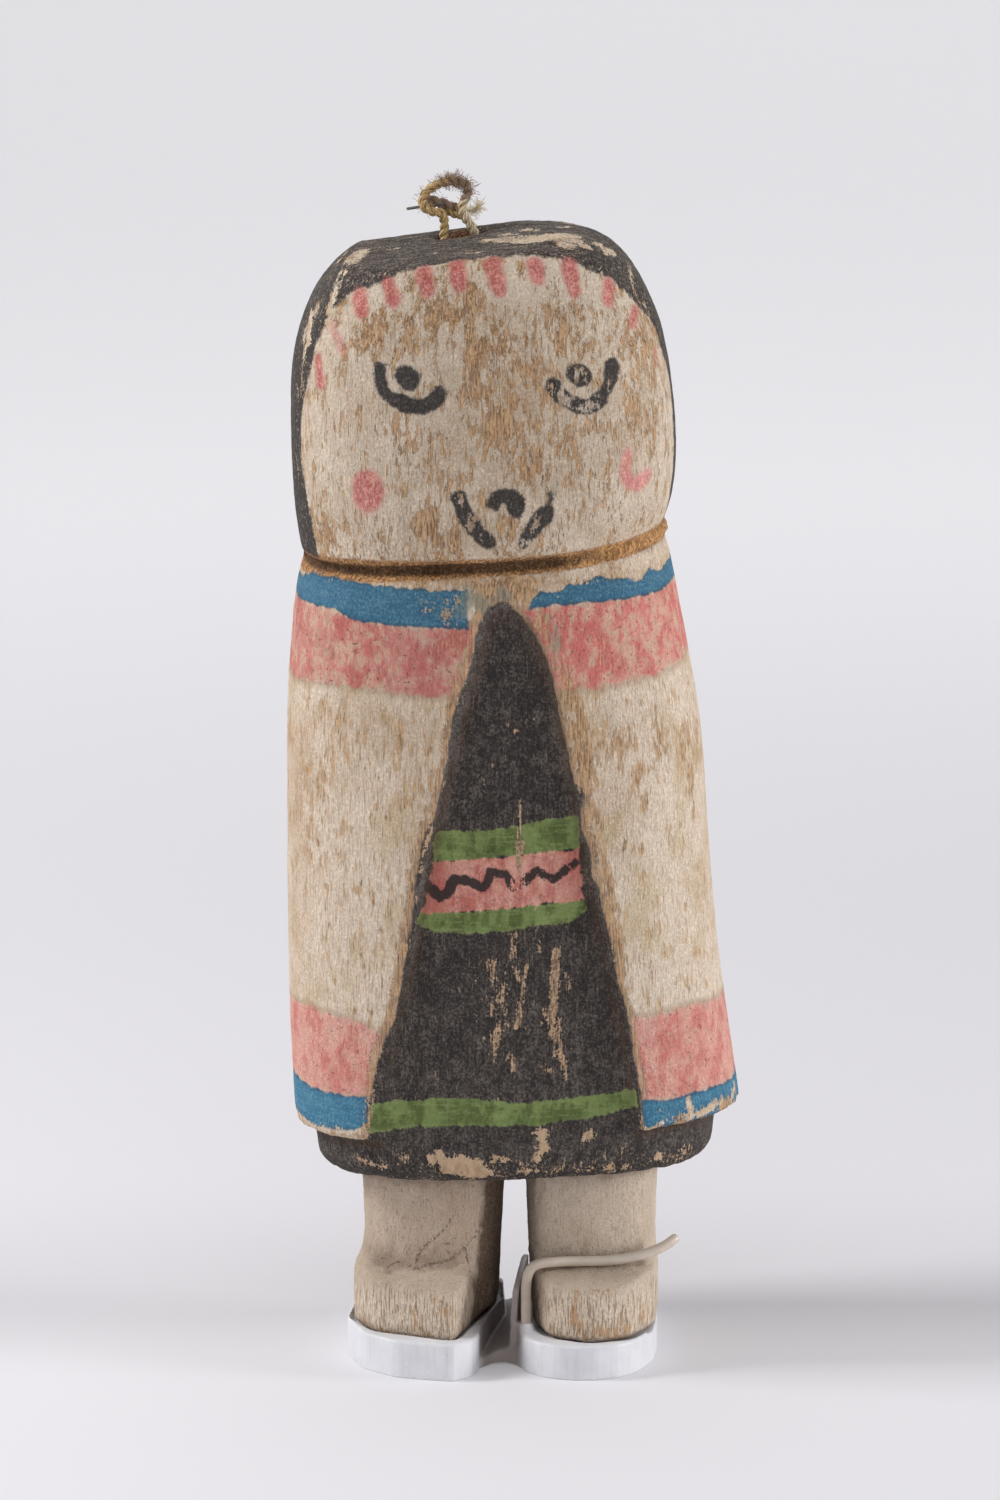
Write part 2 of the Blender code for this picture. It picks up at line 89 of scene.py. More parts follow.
# Brush strokes on the face: width, or the widths at both ends, then the places they pass.
DASHES = [
    ((2, 2.6), [(-39, 208), (-38.5, 203)]), ((4, 3.3), [(-30.7, 220.8), (-30.3, 218.2)]),
    ((3, 3.4), [(-24.9, 223.6), (-23.9, 220.7)]), ((3.6, 3), [(-17.8, 226), (-17.2, 222.9)]),
    ((3.5, 3.2), [(-11.3, 227.4), (-10.8, 223.7)]), ((3.9, 3.3), [(-4.3, 227.6), (-3, 223)]),
    ((3.5, 3.1), [(4, 227.6), (4.6, 225)]), ((3.9, 3.1), [(10.8, 226.8), (11.9, 222.4)]),
    ((2.9, 2.7), [(18.8, 223), (18.4, 220)]), ((2.3, 2.1), [(24.1, 217.4), (23.4, 214.8)]),
]
FAINT_DASHES = [
    ((2.2, 2.4), [(-36.4, 214.6), (-34, 210.4)]), ((1.6, 1.4), [(28.2, 208.8), (28.2, 206.2)]),
]
EYE_STROKES = [
    (2.5, [(-26.6, 207.3), (-26.7, 205.3), (-25.6, 202.6), (-23.4, 201)]),
    (3.2, [(-23.4, 200.9), (-20.3, 199.9), (-17.1, 200.1), (-15.4, 201.3), (-15, 202.4)]),
    (4.4, [(-21.5, 205.9), (-20.7, 205.3)]),
    (3.3, [(7.7, 203.8), (9.2, 201.9), (11.6, 200.2), (15, 199.7), (17.2, 200.9)]),
    ((2, 3.3), [(17.4, 201.2), (19, 204.2), (19.3, 207.2)]), (4.4, [(12.3, 206.2), (13.2, 205.7)]),
]
MOUTH_STROKES = [
    ((2.8, 3.9), [(-4, 180.3), (-3.5, 181.5), (-1.8, 181.9), (-0.2, 181.2), (0.3, 180.2)]),
    (3.8, [(0.3, 180.2), (0.4, 179.5)]),
    ((3.2, 3.3), [(-10.9, 181.5), (-10.2, 179.2), (-8.8, 176.7), (-7, 174.3), (-5.2, 172.5)]),
    ((3.9, 2.3), [(6.2, 178), (4.7, 176.5), (3.3, 174.7), (2.2, 173.2), (1.7, 172.2)]),
    (1.1, [(7, 182.2), (7.3, 181.6)]),
]
LEFT_CHEEK = (-29.1, 182.5, 3.35, 4.4)      # x, z, half width, half height
RIGHT_CHEEK = (
    (2.2, 3.3), [(22.5, 189.6), (22, 186.8), (22.6, 184.4), (24.2, 183.2), (26.2, 184.2)],
)

# Bands round the shawl: heights of their edges from x -46 to 46, front and back.
BLUE_TOP = [
    (-46, 161.5), (-43.2, 161.5), (-40.6, 163.4), (-34.6, 163.6), (-28.4, 163.2), (-16.2, 162.6),
    (-9.4, 162.9), (3.1, 160.6), (5.3, 162.3), (9.1, 162.4), (10.7, 163.8), (13.7, 163.7),
    (16.3, 164.7), (19.7, 163.8), (22.9, 164), (25.6, 163.2), (27, 165), (29.5, 163.8), (31, 165),
    (46, 165),
]
BLUE_LOW = [
    (-46, 157.3), (-36, 157.2), (-31.4, 155.7), (-20.8, 155.1), (-9.4, 155), (3.1, 158.7),
    (8.1, 159.6), (29, 159.9), (31.1, 160.5), (46, 160.5),
]
BLUE_GAP = (-9.2, 3)            # bare wood between the two ends of the blue band
PINK_LOW = [
    (-46, 141.4), (-37.7, 142.2), (-33, 142.4), (-20.8, 141.4), (-9, 141.4), (11.9, 142.6),
    (17.9, 142.7), (28, 144), (33, 144.8), (35, 146.2), (46, 146.2),
]
HEM_PINK_TOP = [
    (-46, 74.1), (-41.1, 74.7), (-34.9, 74), (-29.8, 72.8), (-26.5, 71.2), (22, 74.6), (29.2, 74.8),
    (36.4, 75.7), (42.4, 74.6), (46, 74.2),
]
HEM_BLUE_TOP = [
    (-46, 59), (-41.2, 57.8), (-35, 57.7), (-26, 58.3), (22, 57.9), (32.7, 57.3), (38.3, 58),
    (46, 57.8),
]
HEM_BLUE_LOW = [
    (-46, 50.9), (-43.2, 50.4), (-40.6, 49.5), (-35, 50.1), (-31.5, 50.6), (-29, 53), (22, 51.4),
    (33, 51.8), (40, 52), (46, 52.4),
]

# The shawl's opening: the edge of the black paint, down the left and up the right side.
OPENING_OUTLINE = [
    (-4.4, 160), (-5.4, 158.9), (-7.3, 156.2), (-7.9, 151.3), (-9.7, 144.6), (-11.6, 140.2),
    (-12.8, 134.3), (-13.3, 128.3), (-14.5, 123.4), (-15.9, 116.5), (-17.8, 113.6), (-18.8, 109.8),
    (-19.9, 104.1), (-20.2, 98.5), (-21.9, 88.3), (-22.9, 80.6), (-24, 74.4), (-25.9, 70.6),
    (-28.1, 63.8), (-29.6, 55), (-30.4, 47), (26.6, 47), (26, 53), (25.4, 60), (24.2, 66),
    (23.4, 72), (22.7, 76), (20.7, 82.5), (20.1, 88), (19, 93), (17.8, 97), (17, 101.6),
    (15.6, 104), (15.2, 110), (13.6, 113.4), (13.3, 118.6), (14.1, 120.8), (13.6, 122.6),
    (12, 123.2), (10.9, 128.6), (9.4, 134.6), (8.4, 140.6), (7.5, 144.6), (6.1, 149.2), (4, 153.6),
    (1.6, 157.2), (-0.6, 159.6), (-2.6, 160.6),
]
SASH_ENDS = [
    (-15.2, 117), (-16.3, 110.5), (-16, 107), (-17.8, 98), (-19.8, 94.8), (-19.7, 92.2),
    (-17, 90.5), (12, 91.6), (15, 94.4), (15.4, 96.8), (14, 98.6), (13.4, 104), (13.1, 109.6),
    (13, 115.6), (12, 117.6),
]
SASH_TOP = [(-20, 113), (-13.5, 113), (-4.1, 113.4), (1.8, 114.6), (6.2, 115.4), (15, 116.3)]
SASH_PINK_TOP = [(-20, 106.6), (-11.7, 107), (-0.2, 108.1), (9.8, 109.1), (15, 109.6)]
SASH_PINK_LOW = [(-20, 96.3), (-10.1, 96.5), (1, 97.6), (3.2, 98), (15, 99)]
SASH_LOW = [
    (-20, 94.2), (-16.3, 92.6), (-10.1, 92), (1, 92.8), (3.2, 93.8), (11.4, 94.2), (15, 96.6),
]
ZIGZAG = (
    (2.2, 1.7),
    [(-17.3, 101.9), (-14.9, 99.5), (-13.3, 100.4), (-12.1, 103.3), (-8.9, 102.9), (-6.1, 101.5),
     (-4.5, 104.9), (-1.6, 104.2), (-0.2, 101.7), (1.8, 102.5), (4.4, 105.1), (7.8, 103.2),
     (12.4, 106.7)],
)
HEM_GREEN_TOP = [(-32, 56.2), (-21, 57.3), (-8.7, 57.8), (1, 56.9), (12.9, 57.9), (28, 59.9)]
HEM_GREEN_LOW = [
    (-32, 50.2), (-25.7, 50.8), (-19.4, 51.8), (-4.1, 52.1), (4, 52.2), (12.9, 53.3), (28, 56.4),
]

# Places worn down to the wood: x, z, half width, half height, strength.
WORN_FACE = [
    (-3, 201, 11, 15, 0.42), (-17, 176.4, 2.6, 3.2, 1), (-14.5, 174, 3, 1.6, 0.8),
    (-28.6, 213, 3.4, 4, 0.6), (-21.4, 213.6, 1.8, 3.6, 0.9), (-23.6, 211, 1.2, 2.4, 0.7),
    (-7.8, 210.6, 2.4, 5, 0.8), (-15.3, 218.2, 5, 2.2, 0.55), (-8.8, 221.4, 2.6, 2.6, 0.7),
    (9, 214, 2.6, 5, 0.6), (26.3, 211, 2.4, 8, 0.6), (25.6, 199, 3, 8, 0.4),
    (-37.6, 172.6, 2.6, 3.4, 0.7), (15, 192, 5, 6, 0.3), (4, 187, 5, 4, 0.4),
    (-18, 192, 5, 5, 0.25), (-2, 174, 2.4, 3, 0.5), (12, 210.5, 4, 4, 0.3),
]
# Rubbed places on the hair: width, strength and the places they pass, as (x, y, z).
WORN_HAIR = [
    (4.4, 1, [(-32, -10.6, 226.5), (-30.4, -6, 227.2)]),
    (2.2, 0.95, [(-34.7, -13.7, 224.2), (-35.8, -16.4, 221.3), (-37, -17.8, 217.5)]),
    (3.4, 0.85, [(-39.6, -13.3, 216.8), (-40.6, -13.4, 214.6), (-41.7, -12.8, 211.4)]),
    (2, 0.6, [(-42, -14.6, 206), (-42.2, -15.2, 200)]),
    (5.2, 1, [(-1.9, -11.9, 230.6), (5.1, -14, 231.3), (11.4, -14.8, 231.4)]),
    (3, 0.8, [(-6.2, -11, 230.1), (-2.4, -12, 230.6)]),
    (2.8, 1, [(9.4, -18, 230.7), (11.2, -17.8, 230.7)]),
    (1.2, 1.1, [(13.2, -16.8, 230.1), (14, -16.6, 230.1)]),
    (1.1, 1, [(15.6, -13.1, 230.2), (16.5, -12.9, 230.1)]),
    (2.8, 1.1, [(18.2, -12.8, 228.9), (19.4, -12.3, 228.5)]),
    (2.2, 0.9, [(9.9, 3, 231.7), (12.8, 2.8, 231.5)]),
    (1.8, 0.8, [(1.2, -6.9, 231.8), (4.4, -6.8, 231.8)]),
    (1, 0.8, [(-25.7, -6.1, 227.9), (-24, -6, 228.1)]),
    (0.9, 0.8, [(-16.1, -14.6, 228.4), (-15.5, -14.5, 228.4)]),
    (1.1, 0.8, [(-8.5, -18.5, 229), (-7.4, -18.7, 229)]),
    (1.5, 0.9, [(23.1, -7.8, 225.1), (23.3, -13.4, 222.8), (25, -14.4, 218.8)]),
    (1.4, 0.7, [(27.2, -14, 215), (29.4, -13.4, 208)]),
]
WORN_SHAWL = [
    (20.1, 131.8, 5, 3, 0.5), (29.2, 130.7, 1.6, 4, 0.7), (24.6, 122, 1.6, 6, 0.5),
    (35.4, 125, 2.2, 9, 0.5), (-38, 112, 4, 18, 0.3), (-22, 128, 6, 9, 0.25),
    (-26.9, 92, 7, 12, 0.3), (-12, 150, 3.4, 8, 0.6), (-3, 162.6, 7, 2.2, 1),
    (18.4, 152, 2.6, 3.6, 0.55), (24, 147, 3, 3, 0.5), (9.6, 158, 3, 3, 0.5),
    (-15, 160.4, 4.4, 2.6, 0.8), (43, 53, 2.4, 2.4, 1.5), (33.6, 52.8, 2, 1.8, 1.5),
    (26.8, 53.4, 2, 1.6, 0.8), (-38, 148.6, 2.4, 3, 0.3), (-17, 158.6, 2.4, 1.2, 1.1),
    (-13.4, 157.4, 2.2, 1.6, 1.2), (-11, 160.4, 1.3, 1.8, 1.1), (-36, 163.2, 6, 0.9, 0.5),
    (14, 163.6, 5, 0.8, 0.6), (38.6, 53.8, 2.2, 1.3, 1.3), (30, 55.2, 1.4, 1, 0.8),
    (36, 59, 5, 0.9, 0.4), (20.6, 147.6, 4, 3, 0.5), (30, 152, 2.6, 2.6, 0.35),
]
WORN_DRESS = [
    (-8, 82.6, 1.6, 3, 0.45), (-16, 62, 3, 6, 0.30), (-14.8, 80, 0.7, 3, 0.35),
    (-0.9, 135, 0.8, 1.2, 0.75), (0.4, 133.4, 1.2, 0.8, 0.7), (-4.2, 126.8, 0.8, 1.4, 0.75),
    (-6, 123, 0.6, 2, 0.55), (-23, 45.5, 3, 1.8, 0.6), (22, 46, 6, 1.4, 0.5),
    (0, 43.6, 34, 3.2, 0.30), (-28, 44, 6, 2, 0.45), (33, 44, 5, 2.4, 0.4), (-24, 57, 2, 4, 0.4),
    (-2, 74, 10, 13, 0.30), (3, 136, 1.6, 1.2, 0.5),
]
WORN_FEET = [
    (-13.2, 11.6, 1.2, 2.6, 0.8), (-15.4, 16, 2.2, 0.7, 0.7), (-24, 17.2, 6, 0.6, 0.6),
    (-28.6, 8.2, 3.4, 1, 0.6), (-21.4, 13, 1.4, 2.6, 0.4), (12.6, 13, 1.3, 4.6, 0.9),
    (18, 9, 5, 1.2, 0.8), (26.4, 10.6, 2.4, 2, 0.6), (17, 17.2, 3.4, 0.8, 0.5),
]
# A worn strip along each side of the opening: width, strength and its places.
WORN_EDGES = [
    (3.4, 0.9, [(4.6, 158), (8.4, 150), (11, 142), (13, 133), (15.2, 123)]),
    (2.2, 0.6, [(15.6, 119), (18.6, 104), (22, 84)]),
    (1.4, 1, [(-6, 161.4), (-8.6, 153.5), (-10.6, 146), (-12.6, 139)]),
    (1, 0.3, [(-14.6, 128), (-20.4, 108), (-22, 92)]),
    ((0.6, 2.2), 0.75, [(-21.4, 94), (-24.8, 77), (-28.4, 64), (-30.6, 50)]),
]
# Rubbed streaks on the dress: width, strength and the places they pass through.
WORN_STREAKS = [
    ((0.5, 0.9), 0.85, [(1.5, 123.5), (1.2, 118), (1, 114)]),
    ((0.9, 2.2), 0.90, [(1, 114), (1.2, 109.6)]), ((1.8, 0.7), 0.85, [(1.2, 109.6), (0.8, 103)]),
    (0.6, 0.50, [(4.6, 92.4), (4.2, 97)]), (1, 0.45, [(-2.6, 98.8), (-2.2, 93.4)]),
    (1.8, 0.80, [(-0.2, 92.2), (-0.2, 87.2)]), (0.6, 0.85, [(4.2, 94), (5, 88)]),
    ((0.3, 1.2), 1.10, [(2.9, 87.2), (1.8, 80.9), (0.6, 72.6)]),
    (2.2, 0.75, [(-4.7, 86.2), (-4.1, 82.2)]), (1.5, 0.80, [(0, 84.4), (0.8, 83)]),
    (2.6, 0.62, [(-2.2, 80.9), (-2.9, 76.7), (-1.6, 74)]),
    (0.8, 0.80, [(-4.5, 79.6), (-4.9, 73.4), (-4.5, 69.3), (-4.1, 65.2)]),
    (2.2, 0.80, [(-3.3, 72.2), (-3.7, 69.2)]),
    ((1.4, 2), 1.15, [(8.5, 88.8), (8.2, 84.1), (8, 79.1)]),
    ((2, 1), 1.10, [(8, 79.1), (7.2, 71.2)]), (0.5, 0.80, [(6, 76.7), (5.4, 72.4)]),
    (1.4, 0.75, [(10.4, 83.6), (11.1, 80.2)]), ((1.2, 2.2), 0.85, [(8.8, 74.2), (8.8, 67.5)]),
    ((2, 1.2), 0.85, [(8.8, 67.5), (9.9, 65.4), (10.5, 61.8)]),
    (1.8, 0.85, [(6.4, 64.6), (7, 63.8)]), (1.5, 0.75, [(-0.7, 67.4), (0.1, 63)]),
    (0.4, 0.90, [(-13.6, 86), (-12.2, 83.6), (-11.2, 80.4)]),
    (0.8, 0.45, [(13.5, 81.4), (13.4, 77.8)]), (0.9, 0.80, [(-3.5, 59), (-3.3, 57.4)]),
]
# Flakes with crisp edges on the hair and the hems: width and the places they pass through.
CHIPS = [
    (1.7, [(-29.9, -5.4, 227.5), (-31.8, -13.2, 226.3)]),
    (0.6, [(-33.5, -0.6, 226.5), (-35.6, -4.6, 224.6)]),
    ((0.7, 1.6), [(-33.9, -15, 224.6), (-35.2, -16.9, 221.5), (-36.9, -18.3, 216.9)]),
    ((1.4, 2.2), [(-40.6, -10.4, 216.4), (-40.7, -13.5, 214.1), (-41.3, -14.8, 210.3)]),
    ((1.4, 0.5), [(-41.4, -14.6, 208.6), (-42, -14.6, 206)]),
    (0.5, [(-42.4, -13, 203), (-42.8, -13, 199)]), (0.4, [(-42, -16, 199), (-42.6, -15.6, 193)]),
    (0.5, [(-42.6, -12, 186), (-42.6, -12, 182)]),
    (0.6, [(-25.8, -6.3, 227.9), (-23.6, -6.5, 228.1)]),
    (0.5, [(-28, -6.6, 227.5), (-27.2, -6.9, 227.6)]),
    (0.5, [(-15.8, -14.6, 228.4), (-15.4, -14.6, 228.4)]),
    (0.6, [(-9, -18.2, 229), (-7.2, -19.2, 229)]),
    (1.4, [(-5.8, -9.8, 230.3), (-2.6, -12.6, 230.4)]),
    (3.2, [(1, -14.6, 230.9), (5.4, -15.4, 231.2)]),
    (4.2, [(3.8, -14.4, 231.1), (8.6, -13.6, 231.7)]),
    ((3, 1), [(8.6, -13.4, 231.6), (12.9, -11.6, 231.5)]),
    (1, [(-2.7, -7.7, 230.9), (0.3, -9.1, 231.2)]), (1.2, [(1.7, -6.2, 231.7), (4.7, -7.7, 231.9)]),
    (1.5, [(9.5, -18.4, 230.6), (11.3, -17.8, 230.5)]),
    (1.7, [(13.6, -16.3, 230.3), (14.5, -16, 230.1)]),
    (1, [(15.6, -13.5, 230.2), (17.5, -11.7, 229.7)]),
    (2, [(18.2, -13.4, 228.9), (19.7, -11, 228.3)]),
    (1.2, [(9.3, -4.5, 232.2), (11.2, -2.2, 231.9)]), (1.4, [(10.4, 3.6, 231.7), (13, 3, 231.4)]),
    (0.9, [(23.1, -7.4, 225.1), (23.3, -11.4, 223.4), (23.4, -13.9, 222.1)]),
    (0.4, [(17.4, -19, 226.3), (17.6, -19.9, 225.1)]),
    (1, [(25.8, -12.7, 218), (27.1, -11.6, 215.8)]),
    (0.5, [(28.4, -12.6, 211.6), (29.6, -12.8, 206)]), (1.8, [(5.2, 51), (6.2, 47.9), (4.8, 45.6)]),
    (0.8, [(3, 50), (4.4, 50.5)]), (1.7, [(14.3, 49.6), (15.6, 50)]),
    ((3.6, 5), [(-13.8, 43.6), (-8.9, 43)]), ((4.4, 2), [(-8.9, 43), (-5.4, 41.9)]),
    (1.6, [(-17.2, 44), (-15.4, 46.4)]), (1.2, [(-4.3, 44.8), (-1.4, 45)]),
    (0.7, [(18.6, 42.9), (24, 42.9)]), (1.2, [(28, 43.7), (29.2, 44.2)]),
    (0.7, [(-31.3, 43.4), (-26.2, 42.4)]), (0.8, [(1, 42.6), (5, 42.4)]),
    (0.6, [(32, 45.2), (35.8, 44.8)]), ((1, 2), [(35.3, 56.6), (35.5, 53.4)]),
    ((2, 1.4), [(37.6, 53.2), (39.4, 54)]), ((1.4, 0.5), [(39.4, 54), (42.6, 54.6)]),
    (1.6, [(44.9, 55.8), (44.2, 53.6)]), (0.7, [(31, 53.6), (28.8, 51.7), (26.6, 51.8)]),
    (0.5, [(31.5, 54.9), (31.7, 54.6)]), (0.6, [(-40.8, 49.8), (-35, 50.2)]),
    (0.5, [(-14, 123.4), (-14.4, 121.8)]), (0.8, [(-16.4, 114.6), (-16.9, 112.4)]),
    (0.6, [(-17.6, 110.8), (-18.4, 108.4)]), (0.5, [(-18.6, 106.6), (-18.9, 105)]),
]
# Bluish smears of paint on bare places, laid out as the worn places are.
SMEARS = [
    (-9, 161, 2, 2.4, 1.2), (-6.4, 159.6, 2.4, 2.2, 0.9), (-2.6, 161.6, 2, 2.4, 1),
    (2.4, 162.4, 1.4, 1.6, 0.5), (8.4, 152.6, 1.3, 4, 0.7), (7, 157, 2, 2, 0.4),
    (7.4, 183.6, 2, 2.8, 0.55), (-12, 156.4, 3, 0.9, 0.4), (-13.6, 203.8, 2.2, 2.6, 0.45),
    (-10.8, 158.6, 2, 2.2, 0.9), (-15.2, 158.4, 2.6, 1.8, 0.55), (-18.6, 159.6, 1.6, 1.4, 0.35),
]
# Where brush strokes and cheeks are rubbed thin: x, z, half width, half height, strength.
FADED = [
    (9.8, 201.8, 4.4, 3.4, 1.05), (12.8, 206.4, 2.6, 2.2, 1.1), (15.2, 200, 3.4, 2.2, 1.1),
    (18.6, 203.4, 1.4, 2.4, 0.5), (-24.6, 202.4, 1.4, 1.4, 0.4), (-16.2, 200.4, 1.6, 1.2, 0.5),
    (-15.4, 202.2, 1.8, 1.8, 0.45), (-21, 207.2, 1.2, 1, 0.35), (-26.6, 207.2, 1.2, 1.4, 0.4),
    (-8.6, 177, 1.8, 2.8, 1.05), (-11, 181.4, 1.8, 1.6, 0.9), (-6.4, 174, 1.6, 2, 0.95),
    (4.2, 175.8, 1.5, 2.2, 1.1), (5.8, 177.8, 1, 1.4, 0.8), (1.8, 172.6, 1.8, 1.6, 0.9),
    (-3.8, 180.8, 1.4, 1.2, 0.5), (22.4, 189, 2, 1.6, 0.5), (26.2, 184.4, 1.4, 1.2, 0.4),
    (-30.6, 219.4, 2.2, 2, 0.45), (-24.4, 223, 1.8, 1.6, 0.45), (-5.6, 102.2, 0.9, 1.2, 0.8),
    (-2.6, 103.8, 1, 1.3, 0.8), (0.9, 101.8, 1.9, 1.6, 1.6), (2.6, 103.2, 0.9, 0.9, 0.7),
    (-17.6, 224.6, 1.8, 1.8, 0.35), (4.3, 226.8, 2, 1.6, 0.4), (-39, 207.4, 1.6, 1.6, 0.5),
]
# Broad browner places in the clay, laid out as the worn places are.
BROWNED = [
    (-3, 196, 17, 15, 1), (-4, 216, 20, 8, 0.70), (-9, 174, 14, 7, 0.60), (-34, 176, 5, 9, 0.50),
    (20, 198, 9, 16, 0.60), (24, 212, 7, 10, 0.60), (-28, 133, 14, 10, 0.75),
    (-43, 120, 4, 34, 0.80), (-20, 118, 6, 16, 0.45), (-34, 104, 7, 8, 0.30),
    (22, 134, 10, 9, 0.55), (41, 110, 4, 30, 0.35), (20, 118, 5, 12, 0.60), (0, 164, 40, 2.6, 0.80),
    (-28, 28, 6, 9, 0.30), (-12, 30, 4, 9, 0.40), (30, 28, 4, 9, 0.30),
]
STRING_PIT = (-10.8, -2, 229.6, 4.2)        # x, y, z and reach of the stained hole in the crown
# Small dents in the thick pink paint and in the wood: x, z, radius, depth.
DENTS = [
    (-37.9, 150.8, 1, 0.35), (-36.1, 148.1, 1.2, 0.45), (-36.9, 155, 0.8, 0.30),
    (-30.8, 149.8, 0.8, 0.25), (-43.1, 149.2, 0.9, 0.25), (-27.2, 158.2, 0.7, 0.25),
    (-25, 152.3, 0.9, 0.30), (21.1, 151.7, 0.9, 0.25), (27.2, 148.9, 0.8, 0.25),
    (-25.7, 19.4, 1.1, 0.40), (-39.8, 120, 1.2, 0.30), (13, 121.8, 1.2, -0.50),
]
# Painted cracks: their width and the places they pass through.
CRACKS = [
    (0.5, [(-6.9, 26.9), (-8.6, 25), (-10, 23.7), (-13, 21.4), (-16.7, 20.6), (-20.2, 19.7)]),
    (0.4, [(-26.1, 19.4), (-23.3, 20.8), (-20.2, 19.7)]),
    (0.4, [(-20.2, 19.7), (-19.2, 22.7), (-16.7, 25.3), (-13.9, 27.9), (-12.6, 30.6)]),
    (0.4, [(-10, 23.7), (-9.4, 20.4), (-8.6, 16.8)]), (0.4, [(-3.5, 171), (-3.3, 167)]),
    (0.3, [(-16, 24), (-13.4, 24.6), (-11.6, 26.4)]),
]

# The string, in metres: the places its centre line passes through, and its knot's loose end.
STRING_ROUTE = [
    (-0.0141, -0.0020, 0.2256), (-0.0141, -0.0020, 0.2296), (-0.0140, -0.0023, 0.2327),
    (-0.0147, -0.0028, 0.2346), (-0.0166, -0.0031, 0.2350), (-0.0182, -0.0027, 0.2360),
    (-0.0181, -0.0017, 0.2378), (-0.0167, -0.0013, 0.2394), (-0.0145, -0.0015, 0.2405),
    (-0.0119, -0.0018, 0.2410), (-0.0096, -0.0021, 0.2402), (-0.0093, -0.0024, 0.2384),
    (-0.0102, -0.0026, 0.2368), (-0.0104, -0.0025, 0.2349), (-0.0094, -0.0023, 0.2330),
    (-0.0082, -0.0020, 0.2312), (-0.0077, -0.0020, 0.2290), (-0.0077, -0.0020, 0.2256),
]
# The knot behind the loop, its lower strand, the fluffy top and the loose end.
KNOT_ROUTE = [
    (-0.0174, -0.0004, 0.2367), (-0.0160, -0.0003, 0.2365), (-0.0138, 0.0000, 0.2358),
    (-0.0118, 0.0001, 0.2350), (-0.0102, -0.0001, 0.2344),
]
LOWER_ROUTE = [
    (-0.0137, -0.0012, 0.2348), (-0.0124, -0.0014, 0.2342), (-0.0108, -0.0015, 0.2338),
    (-0.0094, -0.0013, 0.2338),
]
FLUFF_ROUTE = [
    (-0.0150, -0.0015, 0.2404), (-0.0128, -0.0017, 0.2411), (-0.0108, -0.0019, 0.2408),
    (-0.0094, -0.0022, 0.2396), (-0.0094, -0.0024, 0.2382),
]
TAIL_ROUTE = [(-0.0094, -0.0008, 0.2347), (-0.0078, -0.0010, 0.2349), (-0.0067, -0.0011, 0.2364)]
# The middle lines of the quill and the clip.
QUILL_ROUTE = [(-0.0213, -0.0016, 0.2353), (-0.0178, -0.0014, 0.2358), (-0.0140, -0.0012, 0.2363)]
CLIP_ROUTE = [
    (0.00245, -0.0198, 0.0078), (0.00245, -0.0198, 0.0130), (0.0025, -0.0198, 0.0169),
    (0.0032, -0.0197, 0.0198), (0.0052, -0.0194, 0.0211), (0.0094, -0.0188, 0.0214),
    (0.0140, -0.0184, 0.0214), (0.0186, -0.0183, 0.0215), (0.0236, -0.0181, 0.0221),
    (0.0284, -0.0172, 0.0232), (0.0310, -0.0159, 0.0241), (0.0327, -0.0145, 0.0250),
]
HOLLOW = (-1.0, -20.0, 7.0, 6.0, 9.5)       # the mount's hollow in mm: x, y, reach and height

# How the solid is softened before it is carved: rounds of smoothing, angles and millimetres.
RIDGE_ANGLE = math.radians(24)  # an edge sharper than this stays crisp
RIDGE_STEP = 0.6
RIDGE_REACH = 3.0               # how far from such an edge the smoothing is held back
FACE_ROUNDS = 34
RIDGE_ROUNDS = 3
CALM_ROUNDS = 26                # of the calm surface that the relief is measured from
TOE_CORNERS = (-13.5, 11.5, 24.0)           # left, right and top of the corners worn round

# The stage, in metres: the paper's length, width and turn, and where the lights stand.
PAPER_FRONT, PAPER_BACK, PAPER_SIDE = -9.0, 1.6, 12.0
PAPER_TURN, PAPER_TOP = 0.8, 3.0
DOLL_MIDDLE = Vector((0.0, 0.0, 0.12))
LIGHTS = [
    ("left", (-0.85, -0.03, 0.75), (0.28, 0.32)), ("right", (1.75, -0.17, 0.45), (0.44, 0.50)),
    ("front", (0.0, -1.3, 1.2), (1.3, 1.0)),
]
# The photograph's own frame, and where its middle lies from the middle of the doll's height.
PHOTO_HEIGHT = 1500
PHOTO_SCALE = 0.2035 * MM       # metres for each pixel at the doll
CAMERA_AIM = Vector((-2.85, 2.4, 2.56)) * MM
SENSOR = 36.0                   # width of the camera's sensor, in millimetres


def tone(red, green, blue):
    """A screen colour, each part from 0 to 255, as the linear colour that shaders take."""
    parts = [part / 255 for part in (red, green, blue)]
    return tuple(p / 12.92 if p <= 0.04045 else ((p + 0.055) / 1.055) ** 2.4 for p in parts)


def amount(name, default, description, **more):
    return FloatProperty(name=name, description=description, default=default, **more)


def length(name, default, description):
    return amount(name, default, description, unit="LENGTH", precision=5)


def colour(name, default, description):
    return FloatVectorProperty(name=name, description=description, default=default, size=3,
                               min=0.0, max=1.0, subtype="COLOR")


class CarvingSettings(bpy.types.PropertyGroup):
    grid: length("Surface grid", 0.72 * MM, "Width of one cell of the carving's surface")
    cell_stretch: amount("Cell stretch", 1.65, "Height of a cell for each unit of its width",
                         min=1.0)
    wave_depth: length("Knife waves", 0.20 * MM, "Depth of the broad waves the knife left")
    grain_depth: length("Grain depth", 0.07 * MM, "Depth of the raised grain")
    lump_depth: length("Lumps", 0.07 * MM, "Depth of the small lumps of thick paint")
    pore_depth: length("Fine relief", 0.50 * MM, "Depth of pores and fibres in the finish")
    groove_depth: length("Groove", 1.1 * MM, "How much deeper the neck groove is on one side")


